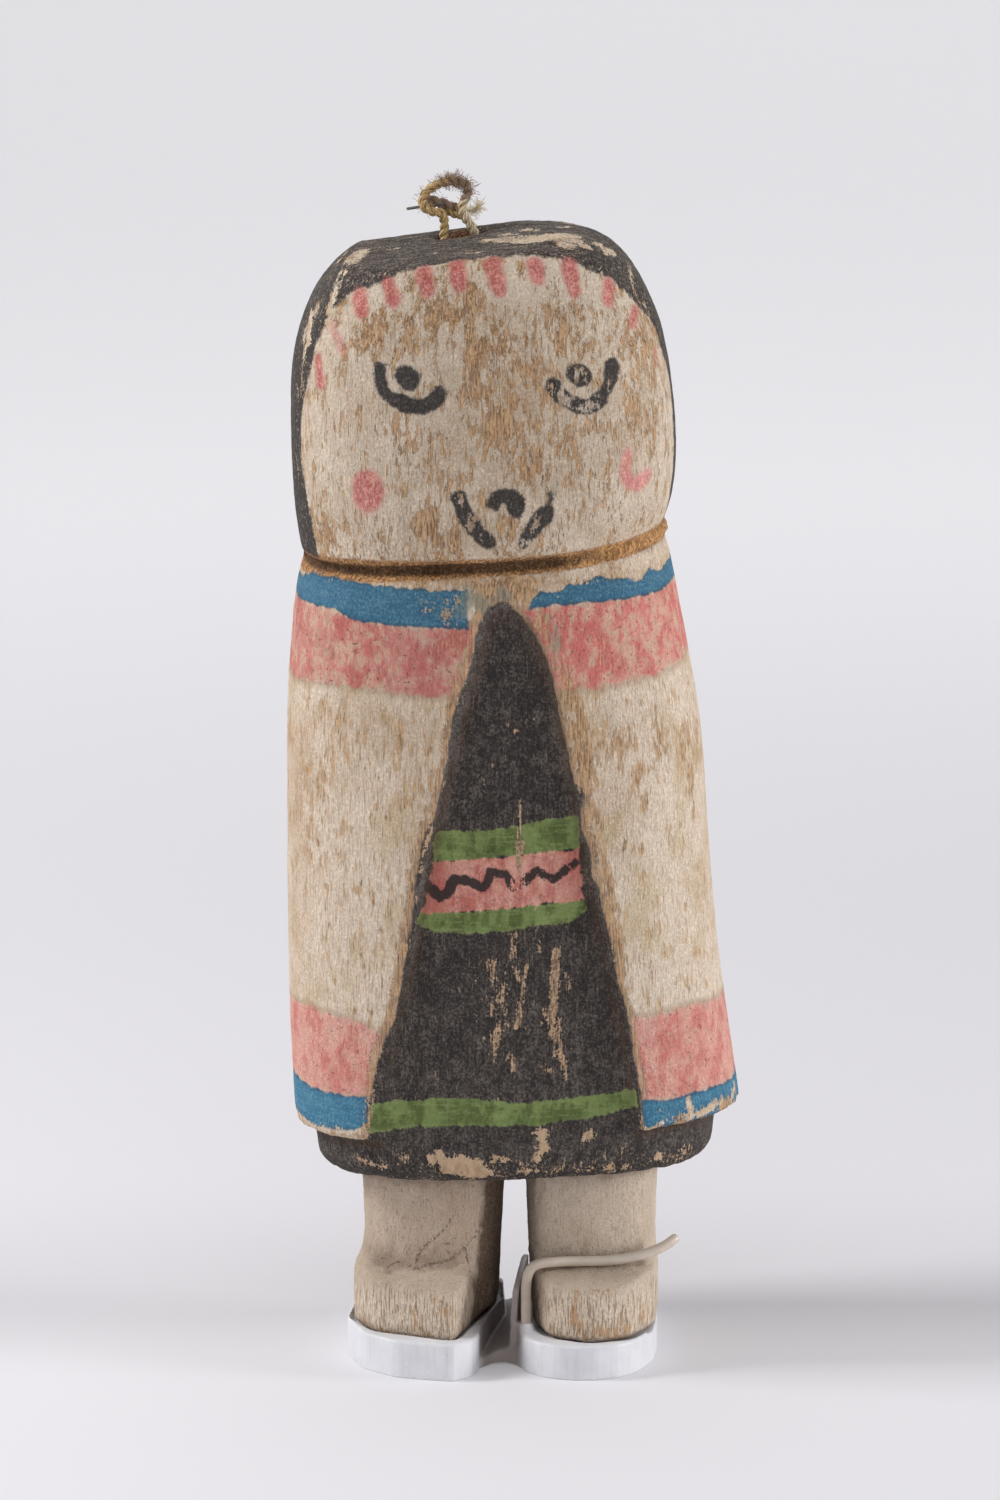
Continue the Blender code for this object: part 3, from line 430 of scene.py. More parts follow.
class PaintSettings(bpy.types.PropertyGroup):
    wood: colour("Bare wood", tone(190, 150, 110), "Wood where the paint has gone")
    wood_dark: colour("Wood fibres", tone(116, 80, 52), "Dark fibres and pores of the wood")
    clay: colour("White clay", tone(225, 208, 188), "Clay ground of the face, shawl and legs")
    clay_brown: colour("Browned clay", tone(186, 158, 130), "The same clay where it is rubbed")
    black: colour("Black paint", tone(45, 43, 43), "Hair, features and dress")
    dust: colour("Dusty black", tone(108, 100, 95), "Black paint where it is dusty or thin")
    blue: colour("Blue paint", tone(40, 109, 143), "Outer bands of the shawl")
    pink: colour("Pink paint", tone(212, 133, 122), "Inner bands of the shawl")
    red: colour("Rose paint", tone(186, 86, 84), "Dashes and cheeks")
    green: colour("Green paint", tone(126, 144, 86), "Bands on the dress")


class StringSettings(bpy.types.PropertyGroup):
    ply_radius: length("Ply radius", 0.52 * MM, "Radius of one of the string's two plies")
    ply_offset: length("Ply offset", 0.47 * MM, "Distance from the string's middle to a ply's")
    pitch: length("Pitch", 3.1 * MM, "Length of string in which the plies turn once")
    fibres: IntProperty(name="Loose fibres", default=520, min=0,
                        description="Number of loose fibres in the fluffy top of the loop")
    fibre_radius: length("Fibre radius", 0.04 * MM, "Radius of one loose fibre")
    light: colour("Fresh fibre", tone(238, 222, 188), "Clean cream fibre")
    golden: colour("Golden fibre", tone(222, 190, 134), "Ochre fibre")
    dark: colour("Aged fibre", tone(152, 124, 106), "Dark, dirty fibre")


class MountSettings(bpy.types.PropertyGroup):
    grid: length("Mount grid", 0.32 * MM, "Width of one cell of the mount's surface")
    file_depth: length("File marks", 0.05 * MM, "Depth of the filed unevenness")
    sleeve_radius: length("Sleeve radius", 1.05 * MM, "Radius of the clip's plastic sleeve")
    paint: colour("White paint", tone(232, 232, 236), "Satin paint of the mount")
    sleeve: colour("Sleeve", tone(218, 206, 192), "Cloudy plastic sleeve of the clip")
    quill: colour("Quill", tone(128, 128, 118), "Dry grey quill")


class StageSettings(bpy.types.PropertyGroup):
    distance: length("Camera distance", 1.7, "From the camera to the doll's middle")
    elevation: amount("Camera elevation", math.radians(12.5), "Angle above the horizon",
                      subtype="ANGLE")
    floor: colour("Floor", tone(217, 215, 219), "Pale paper under and behind the doll")
    # The paper's glow is painted light, and its low strength at the doll is a painted shadow band.
    front_glow: amount("Front glow", 0.14, "Light through the paper before the doll", min=0.0)
    near_glow: amount("Near glow", 0.025, "Light through the paper at the doll", min=0.0)
    back_glow: amount("Back glow", 0.11, "Light through the paper just behind it", min=0.0)
    far_glow: amount("Far glow", 0.31, "Light through the paper far behind it", min=0.0)
    left: amount("Left light", 6.5, "Power of the small high light on the left", unit="POWER")
    right: amount("Right light", 15.2, "Power of the low light on the right", unit="POWER")
    front: amount("Front light", 2.2, "Power of the large light above the camera", unit="POWER")
    sky: amount("Room light", 0.46, "Strength of the even light of the room")


class Wire:
    """A socket in a node tree. Arithmetic on it adds Math nodes."""

    def __init__(self, board, socket):
        self.board = board
        self.socket = socket

    def math(self, operation, *values):
        return self.board.node("ShaderNodeMath", {"operation": operation},
                               dict(enumerate(values)))

    def __add__(self, other):
        return self.math("ADD", self, other)

    def __sub__(self, other):
        return self.math("SUBTRACT", self, other)

    def __rsub__(self, other):
        return self.math("SUBTRACT", other, self)

    def __mul__(self, other):
        return self.math("MULTIPLY", self, other)

    def __truediv__(self, other):
        return self.math("DIVIDE", self, other)

    def __neg__(self):
        return self.math("MULTIPLY", self, -1.0)

    __radd__ = __add__
    __rmul__ = __mul__

    def at_least(self, other):
        return self.math("MAXIMUM", self, other)

    def at_most(self, other):
        return self.math("MINIMUM", self, other)

    def sine(self):
        return self.math("SINE", self)

    def cosine(self):
        return self.math("COSINE", self)

    def ramp(self, low, high):
        """0 below low and 1 above high, with a smooth rise between them."""
        return self.board.node("ShaderNodeMapRange", {"interpolation_type": "SMOOTHSTEP"},
                               {0: self, 1: low, 2: high})


class Board:
    """A node tree that is being wired."""

    def __init__(self, tree):
        self.tree = tree

    def put(self, value, socket):
        if isinstance(value, Wire):
            self.tree.links.new(value.socket, socket)
        else:
            socket.default_value = value

    def node(self, kind, settings=None, values=None, output=0):
        """Add a node, set it up, fill its inputs, and return one of its outputs."""
        made = self.tree.nodes.new(kind)
        for name, value in (settings or {}).items():
            setattr(made, name, value)
        for name, value in (values or {}).items():
            self.put(value, made.inputs[name])
        return Wire(self, made.outputs[output]) if made.outputs else None

    def vector(self, operation, *values):
        return self.node("ShaderNodeVectorMath", {"operation": operation},
                         dict(enumerate(values)))

    def scaled(self, vector, factor):
        """A vector made longer or shorter, or a colour made lighter or darker."""
        return self.node("ShaderNodeVectorMath", {"operation": "SCALE"},
                         {"Vector": vector, "Scale": factor})


class Finish(Board):
    """The shader of one material."""

    def __init__(self, name):
        self.material = bpy.data.materials.new(name)
        self.material.use_nodes = True
        super().__init__(self.material.node_tree)
        self.shader = self.tree.nodes["Principled BSDF"]

    def place(self):
        """Object coordinates in millimetres."""
        return self.scaled(self.node("ShaderNodeTexCoord", output="Object"), 1 / MM)

    def attribute(self, name):
        return self.node("ShaderNodeAttribute", {"attribute_name": name}, output="Fac")

    def noise(self, place, size, detail=2.0, roughness=0.5):
        """Noise around 0.5 whose bumps are as large as size, in millimetres, on each axis."""
        spread = self.vector("MULTIPLY", place, tuple(1 / s for s in size))
        return self.node("ShaderNodeTexNoise", {},
                         {"Vector": spread, "Scale": 1.0, "Detail": detail,
                          "Roughness": roughness})

    def part(self, vector, axis):
        """One coordinate of a vector."""
        return self.node("ShaderNodeSeparateXYZ", {}, {0: vector}, axis)

    def mix(self, share, first, second):
        values = [value if isinstance(value, Wire) else (*value, 1.0)
                  for value in (first, second)]
        return self.node("ShaderNodeMix", {"data_type": "RGBA"},
                         {0: share, 6: values[0], 7: values[1]}, 2)

    def layered(self, tint, *layers):
        """A colour with others laid over it in turn, each given as its share and its colour."""
        for share, over in layers:
            tint = self.mix(share, tint, over)
        return tint

    def finish(self, tint, roughness, height=None, **constants):
        """Wire the shader: colour, roughness, relief in millimetres, and plain values."""
        self.put(tint if isinstance(tint, Wire) else (*tint, 1.0),
                 self.shader.inputs["Base Color"])
        self.put(roughness, self.shader.inputs["Roughness"])
        if height is not None:
            bump = self.node("ShaderNodeBump", {},
                             {"Strength": 1.0, "Distance": MM, "Height": height})
            self.put(bump, self.shader.inputs["Normal"])
        for name, value in constants.items():
            self.shader.inputs[name.replace("_", " ")].default_value = value
        return self.material


def smooth_through(points, step):
    """Points about one step apart on a Catmull-Rom curve through the given points."""
    points = np.array(points, dtype=float)
    padded = np.vstack([2 * points[0] - points[1], points, 2 * points[-1] - points[-2]])
    result = [points[0]]
    for before, start, end, after in zip(padded, padded[1:], padded[2:], padded[3:]):
        count = max(1, round(float(np.linalg.norm(end - start)) / step))
        for t in np.arange(1, count + 1) / count:
            result.append(0.5 * (2 * start + (end - before) * t
                                 + (2 * before - 5 * start + 4 * end - after) * t ** 2
                                 + (3 * start - before - 3 * end + after) * t ** 3))
    return np.array(result)


def add_piece(name, mesh, material=None):
    piece = bpy.data.objects.new(name, mesh)
    bpy.context.scene.collection.objects.link(piece)
    if material:
        mesh.materials.clear()
        mesh.materials.append(material)
    return piece


def evaluated_mesh(piece, name):
    """The piece's mesh with its modifiers applied."""
    bpy.context.view_layer.update()
    evaluated = piece.evaluated_get(bpy.context.evaluated_depsgraph_get())
    mesh = bpy.data.meshes.new_from_object(evaluated)
    mesh.name = name
    return mesh


def merged_solid(node, name):
    """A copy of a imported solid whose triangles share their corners."""
    source = NODES[node].data
    mesh = bpy.data.meshes.new(name)
    mesh.from_pydata([v.co for v in source.vertices], [],
                     [tuple(p.vertices) for p in source.polygons])
    shape = bmesh.new()
    shape.from_mesh(mesh)
    bmesh.ops.remove_doubles(shape, verts=shape.verts, dist=0.01 * MM)
    shape.to_mesh(mesh)
    shape.free()
    return mesh


def read_points(mesh):
    """The mesh's vertices, in millimetres."""
    points = np.empty(len(mesh.vertices) * 3)
    mesh.vertices.foreach_get("co", points)
    return points.reshape(-1, 3) / MM


def write_points(mesh, points):
    mesh.vertices.foreach_set("co", (points * MM).ravel())
    mesh.update()


def read_normals(mesh):
    normals = np.empty(len(mesh.vertices) * 3, dtype=np.float32)
    mesh.vertex_normals.foreach_get("vector", normals)
    return normals.reshape(-1, 3).astype(float)


def read_edges(mesh):
    """The two vertices of each edge."""
    edges = np.empty(len(mesh.edges) * 2, dtype=np.int32)
    mesh.edges.foreach_get("vertices", edges)
    return edges.reshape(-1, 2)


def store(mesh, name, values):
    attribute = mesh.attributes.new(name, "FLOAT", "POINT")
    attribute.data.foreach_set("value", np.asarray(values, dtype=np.float32))


def spread_noise(points, size, seed):
    """Smooth noise between about -1 and 1 whose bumps are as large as size on each axis."""
    scaled = points / np.array(size) + 31.7 * seed
    return np.array([noise.noise(place) for place in scaled.tolist()])


def smoothed(points, edges, rounds, hold=1.0):
    """Draw each point towards its neighbours' middle, more where hold is larger."""
    first, second = edges.T
    counts = np.bincount(edges.ravel(), minlength=len(points))
    hold = np.broadcast_to(hold, len(points)) * 0.5
    for _ in range(rounds):
        middles = np.empty_like(points)
        for axis in range(3):
            column = points[:, axis]
            middles[:, axis] = (np.bincount(first, column[second], len(points))
                                + np.bincount(second, column[first], len(points))) / counts
        points = points + (middles - points) * hold[:, None]
    return points


def distance_to_line(points, line):
    """Shortest distance from each point to a line through the given places."""
    nearest = np.full(len(points), np.inf)
    for start, end in zip(line[:-1], line[1:]):
        along = end - start
        share = ((points - start) @ along / max(along @ along, 1e-9)).clip(0, 1)
        gap = np.linalg.norm(points - start - share[:, None] * along, axis=1)
        nearest = np.minimum(nearest, gap)
    return nearest


def inside_outline(flat, outline):
    """Which of the flat points lie inside a closed outline."""
    x, z = flat.T
    inside = np.zeros(len(flat), dtype=bool)
    for (xa, za), (xb, zb) in zip(outline, outline[1:] + outline[:1]):
        if za != zb:
            inside ^= ((za > z) != (zb > z)) & (x < (xb - xa) * (z - za) / (zb - za) + xa)
    return inside


def sweep(name, path, radii, sides, material):
    """A closed tube along a path with a radius at each point, both ends rounded off."""
    path = np.array(path, dtype=float)
    radii = np.broadcast_to(radii, len(path)).astype(float)
    tangents = np.gradient(path, axis=0)
    tangents /= np.linalg.norm(tangents, axis=1)[:, None]
    side = np.cross(tangents[0], (0.31, 0.87, 0.38))
    rings = []
    for place, tangent, radius in zip(path, tangents, radii):
        side = side - tangent * (side @ tangent)
        side /= np.linalg.norm(side)
        rings.append((place, tangent, side, np.cross(tangent, side), radius))
    caps = [math.sin(math.pi / 2 * t) for t in (0.25, 0.5, 0.75)]
    first, last = rings[0], rings[-1]
    start = [(first[0] - first[1] * first[4] * math.sqrt(1 - c * c), *first[1:4], first[4] * c)
             for c in caps]
    end = [(last[0] + last[1] * last[4] * math.sqrt(1 - c * c), *last[1:4], last[4] * c)
           for c in reversed(caps)]
    shape = bmesh.new()
    rows = []
    for place, _, across, up, radius in start + rings + end:
        row = []
        for k in range(sides):
            angle = 2 * math.pi * k / sides
            row.append(shape.verts.new(place + radius * (math.cos(angle) * across
                                                         + math.sin(angle) * up)))
        rows.append(row)
    for lower, upper in zip(rows, rows[1:]):
        for k in range(sides):
            after = (k + 1) % sides
            shape.faces.new((lower[k], lower[after], upper[after], upper[k]))
    shape.faces.new(list(reversed(rows[0])))
    shape.faces.new(rows[-1])
    bmesh.ops.recalc_face_normals(shape, faces=shape.faces)
    mesh = bpy.data.meshes.new(name)
    shape.to_mesh(mesh)
    shape.free()
    mesh.shade_smooth()
    return add_piece(name, mesh, material)


def level(points, height, rise, bend=0.0):
    """Height of a tilted plane below or above each point."""
    x = points[:, 0]
    return height + rise * x + bend * np.maximum(x, 0) ** 2


def sharp_places(mesh):
    """Points along the ridges that stay crisp, in millimetres, a small step apart."""
    shape = bmesh.new()
    shape.from_mesh(mesh)
    places = []
    for edge in shape.edges:
        if edge.is_manifold and edge.calc_face_angle() > RIDGE_ANGLE:
            ends = [np.array(vertex.co) / MM for vertex in edge.verts]
            inner = edge.calc_face_angle_signed() < 0
            instep = inner and ends[0][2] < DRESS_HEM[0] - 1
            run = np.abs(ends[1] - ends[0])
            low = ends[0][2] < TOE_CORNERS[2] and TOE_CORNERS[0] < ends[0][0] < TOE_CORNERS[1]
            toe_corner = low and run[2] > max(run[:2])
            if not (instep or toe_corner):
                count = max(2, int(edge.calc_length() / MM / RIDGE_STEP))
                places.extend(ends[0] + (ends[1] - ends[0]) * t
                              for t in np.linspace(0, 1, count))
    shape.free()
    return np.array(places)


def nearest_gap(points, places, reach):
    """Distance from each point to the nearest of the places, up to the reach."""
    cells = {}
    for place in places:
        cells.setdefault(tuple((place // reach).astype(int)), []).append(place)
    gaps = np.full(len(points), reach)
    keys = (points // reach).astype(int)
    order = np.lexsort(keys.T)
    breaks = np.flatnonzero(np.any(np.diff(keys[order], axis=0), axis=1)) + 1
    for group in np.split(order, breaks):
        base = keys[group[0]]
        near = [place for dx in (-1, 0, 1) for dy in (-1, 0, 1) for dz in (-1, 0, 1)
                for place in cells.get((base[0] + dx, base[1] + dy, base[2] + dz), ())]
        if near:
            near = np.array(near)
            apart = np.linalg.norm(points[group][:, None] - near[None], axis=2)
            gaps[group] = np.minimum(gaps[group], apart.min(axis=1))
    return gaps


def even_cells(piece, size, name):
    """The piece's shape as a new mesh of even cells."""
    remesh = piece.modifiers.new("even cells", "REMESH")
    remesh.mode = "VOXEL"
    remesh.voxel_size = size
    remesh.adaptivity = 0.0
    mesh = evaluated_mesh(piece, name)
    piece.modifiers.clear()
    return mesh


def fine_surface(settings):
    """The carving's solid as an even mesh, its cells longer along the grain."""
    solid = merged_solid("doll", "carving_solid")
    places = sharp_places(solid)
    stretch = np.array([1.0, 1.0, 1 / settings.cell_stretch])
    write_points(solid, read_points(solid) * stretch)
    piece = add_piece("carved_doll", solid)
    mesh = even_cells(piece, settings.grid, "carved_doll")
    piece.data = mesh
    bpy.data.meshes.remove(solid)
    points = read_points(mesh) / stretch
    edges = read_edges(mesh)
    free = ((nearest_gap(points, places, RIDGE_REACH) - 0.5) / 2.0).clip(0.06, 1.0)
    points = smoothed(points, edges, FACE_ROUNDS, free)
    points = smoothed(points, edges, RIDGE_ROUNDS)
    write_points(mesh, points)
    return piece, edges


def patches(points, table):
    """How strongly each point of the front lies in a table of soft oval patches."""
    total = np.zeros(len(points))
    facing = points[:, 1] < 4
    for x, z, half_x, half_z, strength in table:
        away = ((points[:, 0] - x) / half_x) ** 2 + ((points[:, 2] - z) / half_z) ** 2
        total = np.maximum(total, strength * np.exp(-away * 0.8) * facing)
    return total


class Painter:
    """Lays out painted shapes on the carving as depths inside their edges, in millimetres."""

    def __init__(self, piece, points):
        self.piece = piece
        self.points = points
        self.front = points[:, 1] < 2

    def drop(self, flat):
        """Places on the carving's front behind points given as (x, z)."""
        places = []
        for x, z in flat:
            found, place, _, _ = self.piece.ray_cast((x * MM, -0.1, z * MM), (0, 1, 0))
            if not found:
                _, place, _, _ = self.piece.closest_point_on_mesh((x * MM, -10 * MM, z * MM))
            places.append(np.array(place) / MM)
        return np.array(places)

    def stroke(self, width, route, curved=True):
        """Depth inside a stroke along a curve through the route, seen from the front or in
        space. Its width may differ at its two ends."""
        line = smooth_through(route, 1.0) if curved else np.array(route)
        if line.shape[1] == 2:
            line = self.drop(line)
        widths = np.linspace(*np.broadcast_to(width, 2), len(line) - 1)
        parts = [part / 2 - distance_to_line(self.points, line[index:index + 2])
                 for index, part in enumerate(widths)]
        return np.max(parts, axis=0)

    def strokes(self, table):
        return np.max([self.stroke(width, route) for width, route in table], axis=0)

    def area(self, outline):
        """Depth inside an outline on the front, negative outside."""
        closed = outline + outline[:1]
        gap = distance_to_line(self.points, self.drop(closed))
        inside = inside_outline(self.points[:, ::2], outline) & self.front
        return np.where(inside, gap, -gap)

    def band(self, top, low):
        """Depth inside a band between two edges that run round the carving."""
        heights = []
        for edge in (top, low):
            x, z = np.array(edge, dtype=float).T
            front = np.interp(self.points[:, 0], x, z)
            back = z[0] + (z[-1] - z[0]) * ((self.points[:, 0] + 46) / 92).clip(0, 1)
            turn = ((self.points[:, 1] + 4) / 10).clip(0, 1)
            heights.append(front * (1 - turn) + back * turn)
        return np.minimum(heights[0] - self.points[:, 2], self.points[:, 2] - heights[1])


def lay_out_paint(piece, points):
    """Store every painted area of the carving as an attribute, in millimetres."""
    mesh = piece.data
    painter = Painter(piece, points)
    z = points[:, 2]
    head = z - level(points, HEAD_EDGE, NECK_RISE, NECK_BEND)
    shoulder = level(points, SHOULDER_EDGE, NECK_RISE, NECK_BEND) - z
    shawl_hem = z - level(points, *SHAWL_HEM)
    dress_hem = z - level(points, *DRESS_HEM)
    store(mesh, "neck", np.minimum(-head, -shoulder))
    store(mesh, "hair", np.minimum(-painter.area(FACE_OUTLINE), head + 0.3))
    store(mesh, "dashes", painter.strokes(DASHES))
    store(mesh, "faint_dashes", painter.strokes(FAINT_DASHES))
    store(mesh, "features", painter.strokes(EYE_STROKES + MOUTH_STROKES))
    x, height, reach_x, reach_z = LEFT_CHEEK
    away = np.hypot((points[:, 0] - x) / reach_x, (z - height) / reach_z)
    cheeks = np.maximum((1 - away) * reach_x, painter.stroke(*RIGHT_CHEEK))
    store(mesh, "cheeks", np.where(painter.front, cheeks, -9))
    opening = painter.area(OPENING_OUTLINE)
    dress = np.maximum(opening, np.minimum(-shawl_hem - 0.2, dress_hem + 0.6))
    store(mesh, "dress", dress)
    on_shawl = np.minimum(-dress, shoulder + 6)
    gap = np.abs(points[:, 0] - sum(BLUE_GAP) / 2) - (BLUE_GAP[1] - BLUE_GAP[0]) / 2
    gap = np.where(points[:, 1] < 0, gap, 9.0)
    blue = np.minimum(painter.band(BLUE_TOP, BLUE_LOW), gap)
    hem_blue = painter.band(HEM_BLUE_TOP, HEM_BLUE_LOW)
    store(mesh, "blue", np.minimum(np.maximum(blue, hem_blue), on_shawl))
    pink = np.maximum(painter.band(BLUE_LOW, PINK_LOW), painter.band(HEM_PINK_TOP, HEM_BLUE_TOP))
    store(mesh, "pink", np.minimum(pink, on_shawl))
    on_dress = np.minimum(opening, painter.area(SASH_ENDS))
    sash = np.maximum(painter.band(SASH_TOP, SASH_PINK_TOP), painter.band(SASH_PINK_LOW, SASH_LOW))
    hem_green = np.minimum(painter.band(HEM_GREEN_TOP, HEM_GREEN_LOW), opening - 0.8)
    store(mesh, "green", np.maximum(np.minimum(sash, on_dress), hem_green))
    store(mesh, "sash", np.minimum(painter.band(SASH_PINK_TOP, SASH_PINK_LOW), on_dress))
    store(mesh, "zigzag", np.minimum(painter.stroke(*ZIGZAG, curved=False), opening))
    store(mesh, "legs", -dress_hem)
    worn = patches(points, WORN_FACE + WORN_SHAWL + WORN_DRESS + WORN_FEET)
    rubbed = np.zeros(len(points))
    for total, table, reach in ((worn, WORN_EDGES, 1.5), (worn, WORN_STREAKS, 0.8),
                                (rubbed, WORN_HAIR, 1.5)):
        for width, strength, route in table:
            depth = painter.stroke(width, route)
            np.maximum(total, strength * (depth / reach + 0.6).clip(0, 1), out=total)
    store(mesh, "worn", worn)
    store(mesh, "rubbed", rubbed)
    store(mesh, "chips", painter.strokes(CHIPS))
    store(mesh, "cracks", painter.strokes(CRACKS))
    store(mesh, "faded", patches(points, FADED))
    store(mesh, "browned", patches(points, BROWNED).clip(0.22 * (head > 0), None))
    store(mesh, "smears", patches(points, SMEARS))
    store(mesh, "beside", np.where(painter.front, -opening, 9))
    x, y, height, reach = STRING_PIT
    store(mesh, "pit", reach - np.linalg.norm(points - (x, y, height), axis=1))
    # Dark stained wood with painted shade on the legs' inner sides, where they face each other; the
    # wide soft gradient from the right leg's inner edge is painted shade.
    turned = read_normals(mesh)
    on_left = points[:, 0] < -1
    corner = -8.8 + 0.10 * (z - 15.6) + 0.7 * spread_noise(points, (1.4, 1.4, 1.8), 8)
    facing = ((np.where(on_left, turned[:, 0], -turned[:, 0]) - 0.30) / 0.4).clip(0, 1)
    facing *= (1 - (np.abs(points[:, 0] + 0.6) - 4.4) / 3).clip(0, 1)
    left = np.maximum(facing, ((points[:, 0] - corner) / 1.8).clip(0, 1))
    right = np.maximum(facing * 0.45, 0.34 * (1 - (points[:, 0] - 3) / 7).clip(0, 1))
    store(mesh, "inner_leg", np.where(on_left, left, right) * (dress_hem < 0))


def carve_relief(piece, edges, settings):
    """Knife waves, raised grain, lumps, ragged hems, the neck groove and dents, as moves of
    the surface. What stands proud and what looks upward is stored for the finish."""
    mesh = piece.data
    points = read_points(mesh)
    normals = read_normals(mesh)
    painter = Painter(piece, points)
    wave = spread_noise(points, (9, 9, 24), 1) + 0.5 * spread_noise(points, (4, 4, 9), 2)
    grain = spread_noise(points, (1.5, 1.5, 17), 3) + 0.6 * spread_noise(points, (0.9, 0.9, 6), 4)
    move = (wave * settings.wave_depth + grain * settings.grain_depth) / MM
    move += spread_noise(points, (1.5, 1.5, 1.9), 6) * settings.lump_depth / MM
    shin = ((DRESS_HEM[0] - points[:, 2]) / 3).clip(0, 1)
    move += shin * (0.12 * spread_noise(points, (1.5, 1.5, 1.7), 7)
                    - 0.5 * wave * settings.wave_depth / MM)
    crumbly = shin * (1 - np.abs(np.abs(points[:, 0] + 0.4) - 4.6) / 2.4).clip(0, 1)
    move += crumbly * 0.42 * spread_noise(points, (1.7, 1.7, 1.5), 9)
    ragged = spread_noise(points, (2.2, 2.2, 2.2), 5)
    near_hems = [np.abs(points[:, 2] - level(points, *hem)) for hem in (SHAWL_HEM, DRESS_HEM)]
    move -= 0.5 * ragged.clip(0, 1) * (1 - np.min(near_hems, axis=0) / 2.5).clip(0, 1)
    height = points[:, 2] - level(points, NECK_HEIGHT, NECK_RISE, NECK_BEND)
    one_side = ((20 - points[:, 0]) / 24).clip(0, 1) * (points[:, 1] < 0)
    move -= settings.groove_depth / MM * one_side * np.exp(-(height / 0.85) ** 2)
    filled = ((points[:, 0] - 9) / 18).clip(0, 1) * (points[:, 1] < 8)
    move += 1.3 * filled * np.exp(-((height + 0.1) / 1.2) ** 2)
    for x, z, radius, depth in DENTS:
        place = painter.drop([(x, z)])[0]
        away = np.linalg.norm(points - place, axis=1) / radius
        move -= depth * np.exp(-away ** 2)
    points = points + normals * move[:, None]
    write_points(mesh, points)
    calm = smoothed(points, edges, CALM_ROUNDS)
    turned = read_normals(mesh)
    store(mesh, "relief", ((points - calm) * turned).sum(axis=1))
    store(mesh, "upward", smoothed(turned, edges, 3)[:, 2])
    return points


def painted(inside, ragged, wearing, hold, soft=0.25, fade=0.05):
    """Share of a place that a paint covers: inside its ragged edge, and not yet worn off."""
    return (inside + ragged).ramp(-soft, soft) * (1 - wearing.ramp(hold, hold + fade))


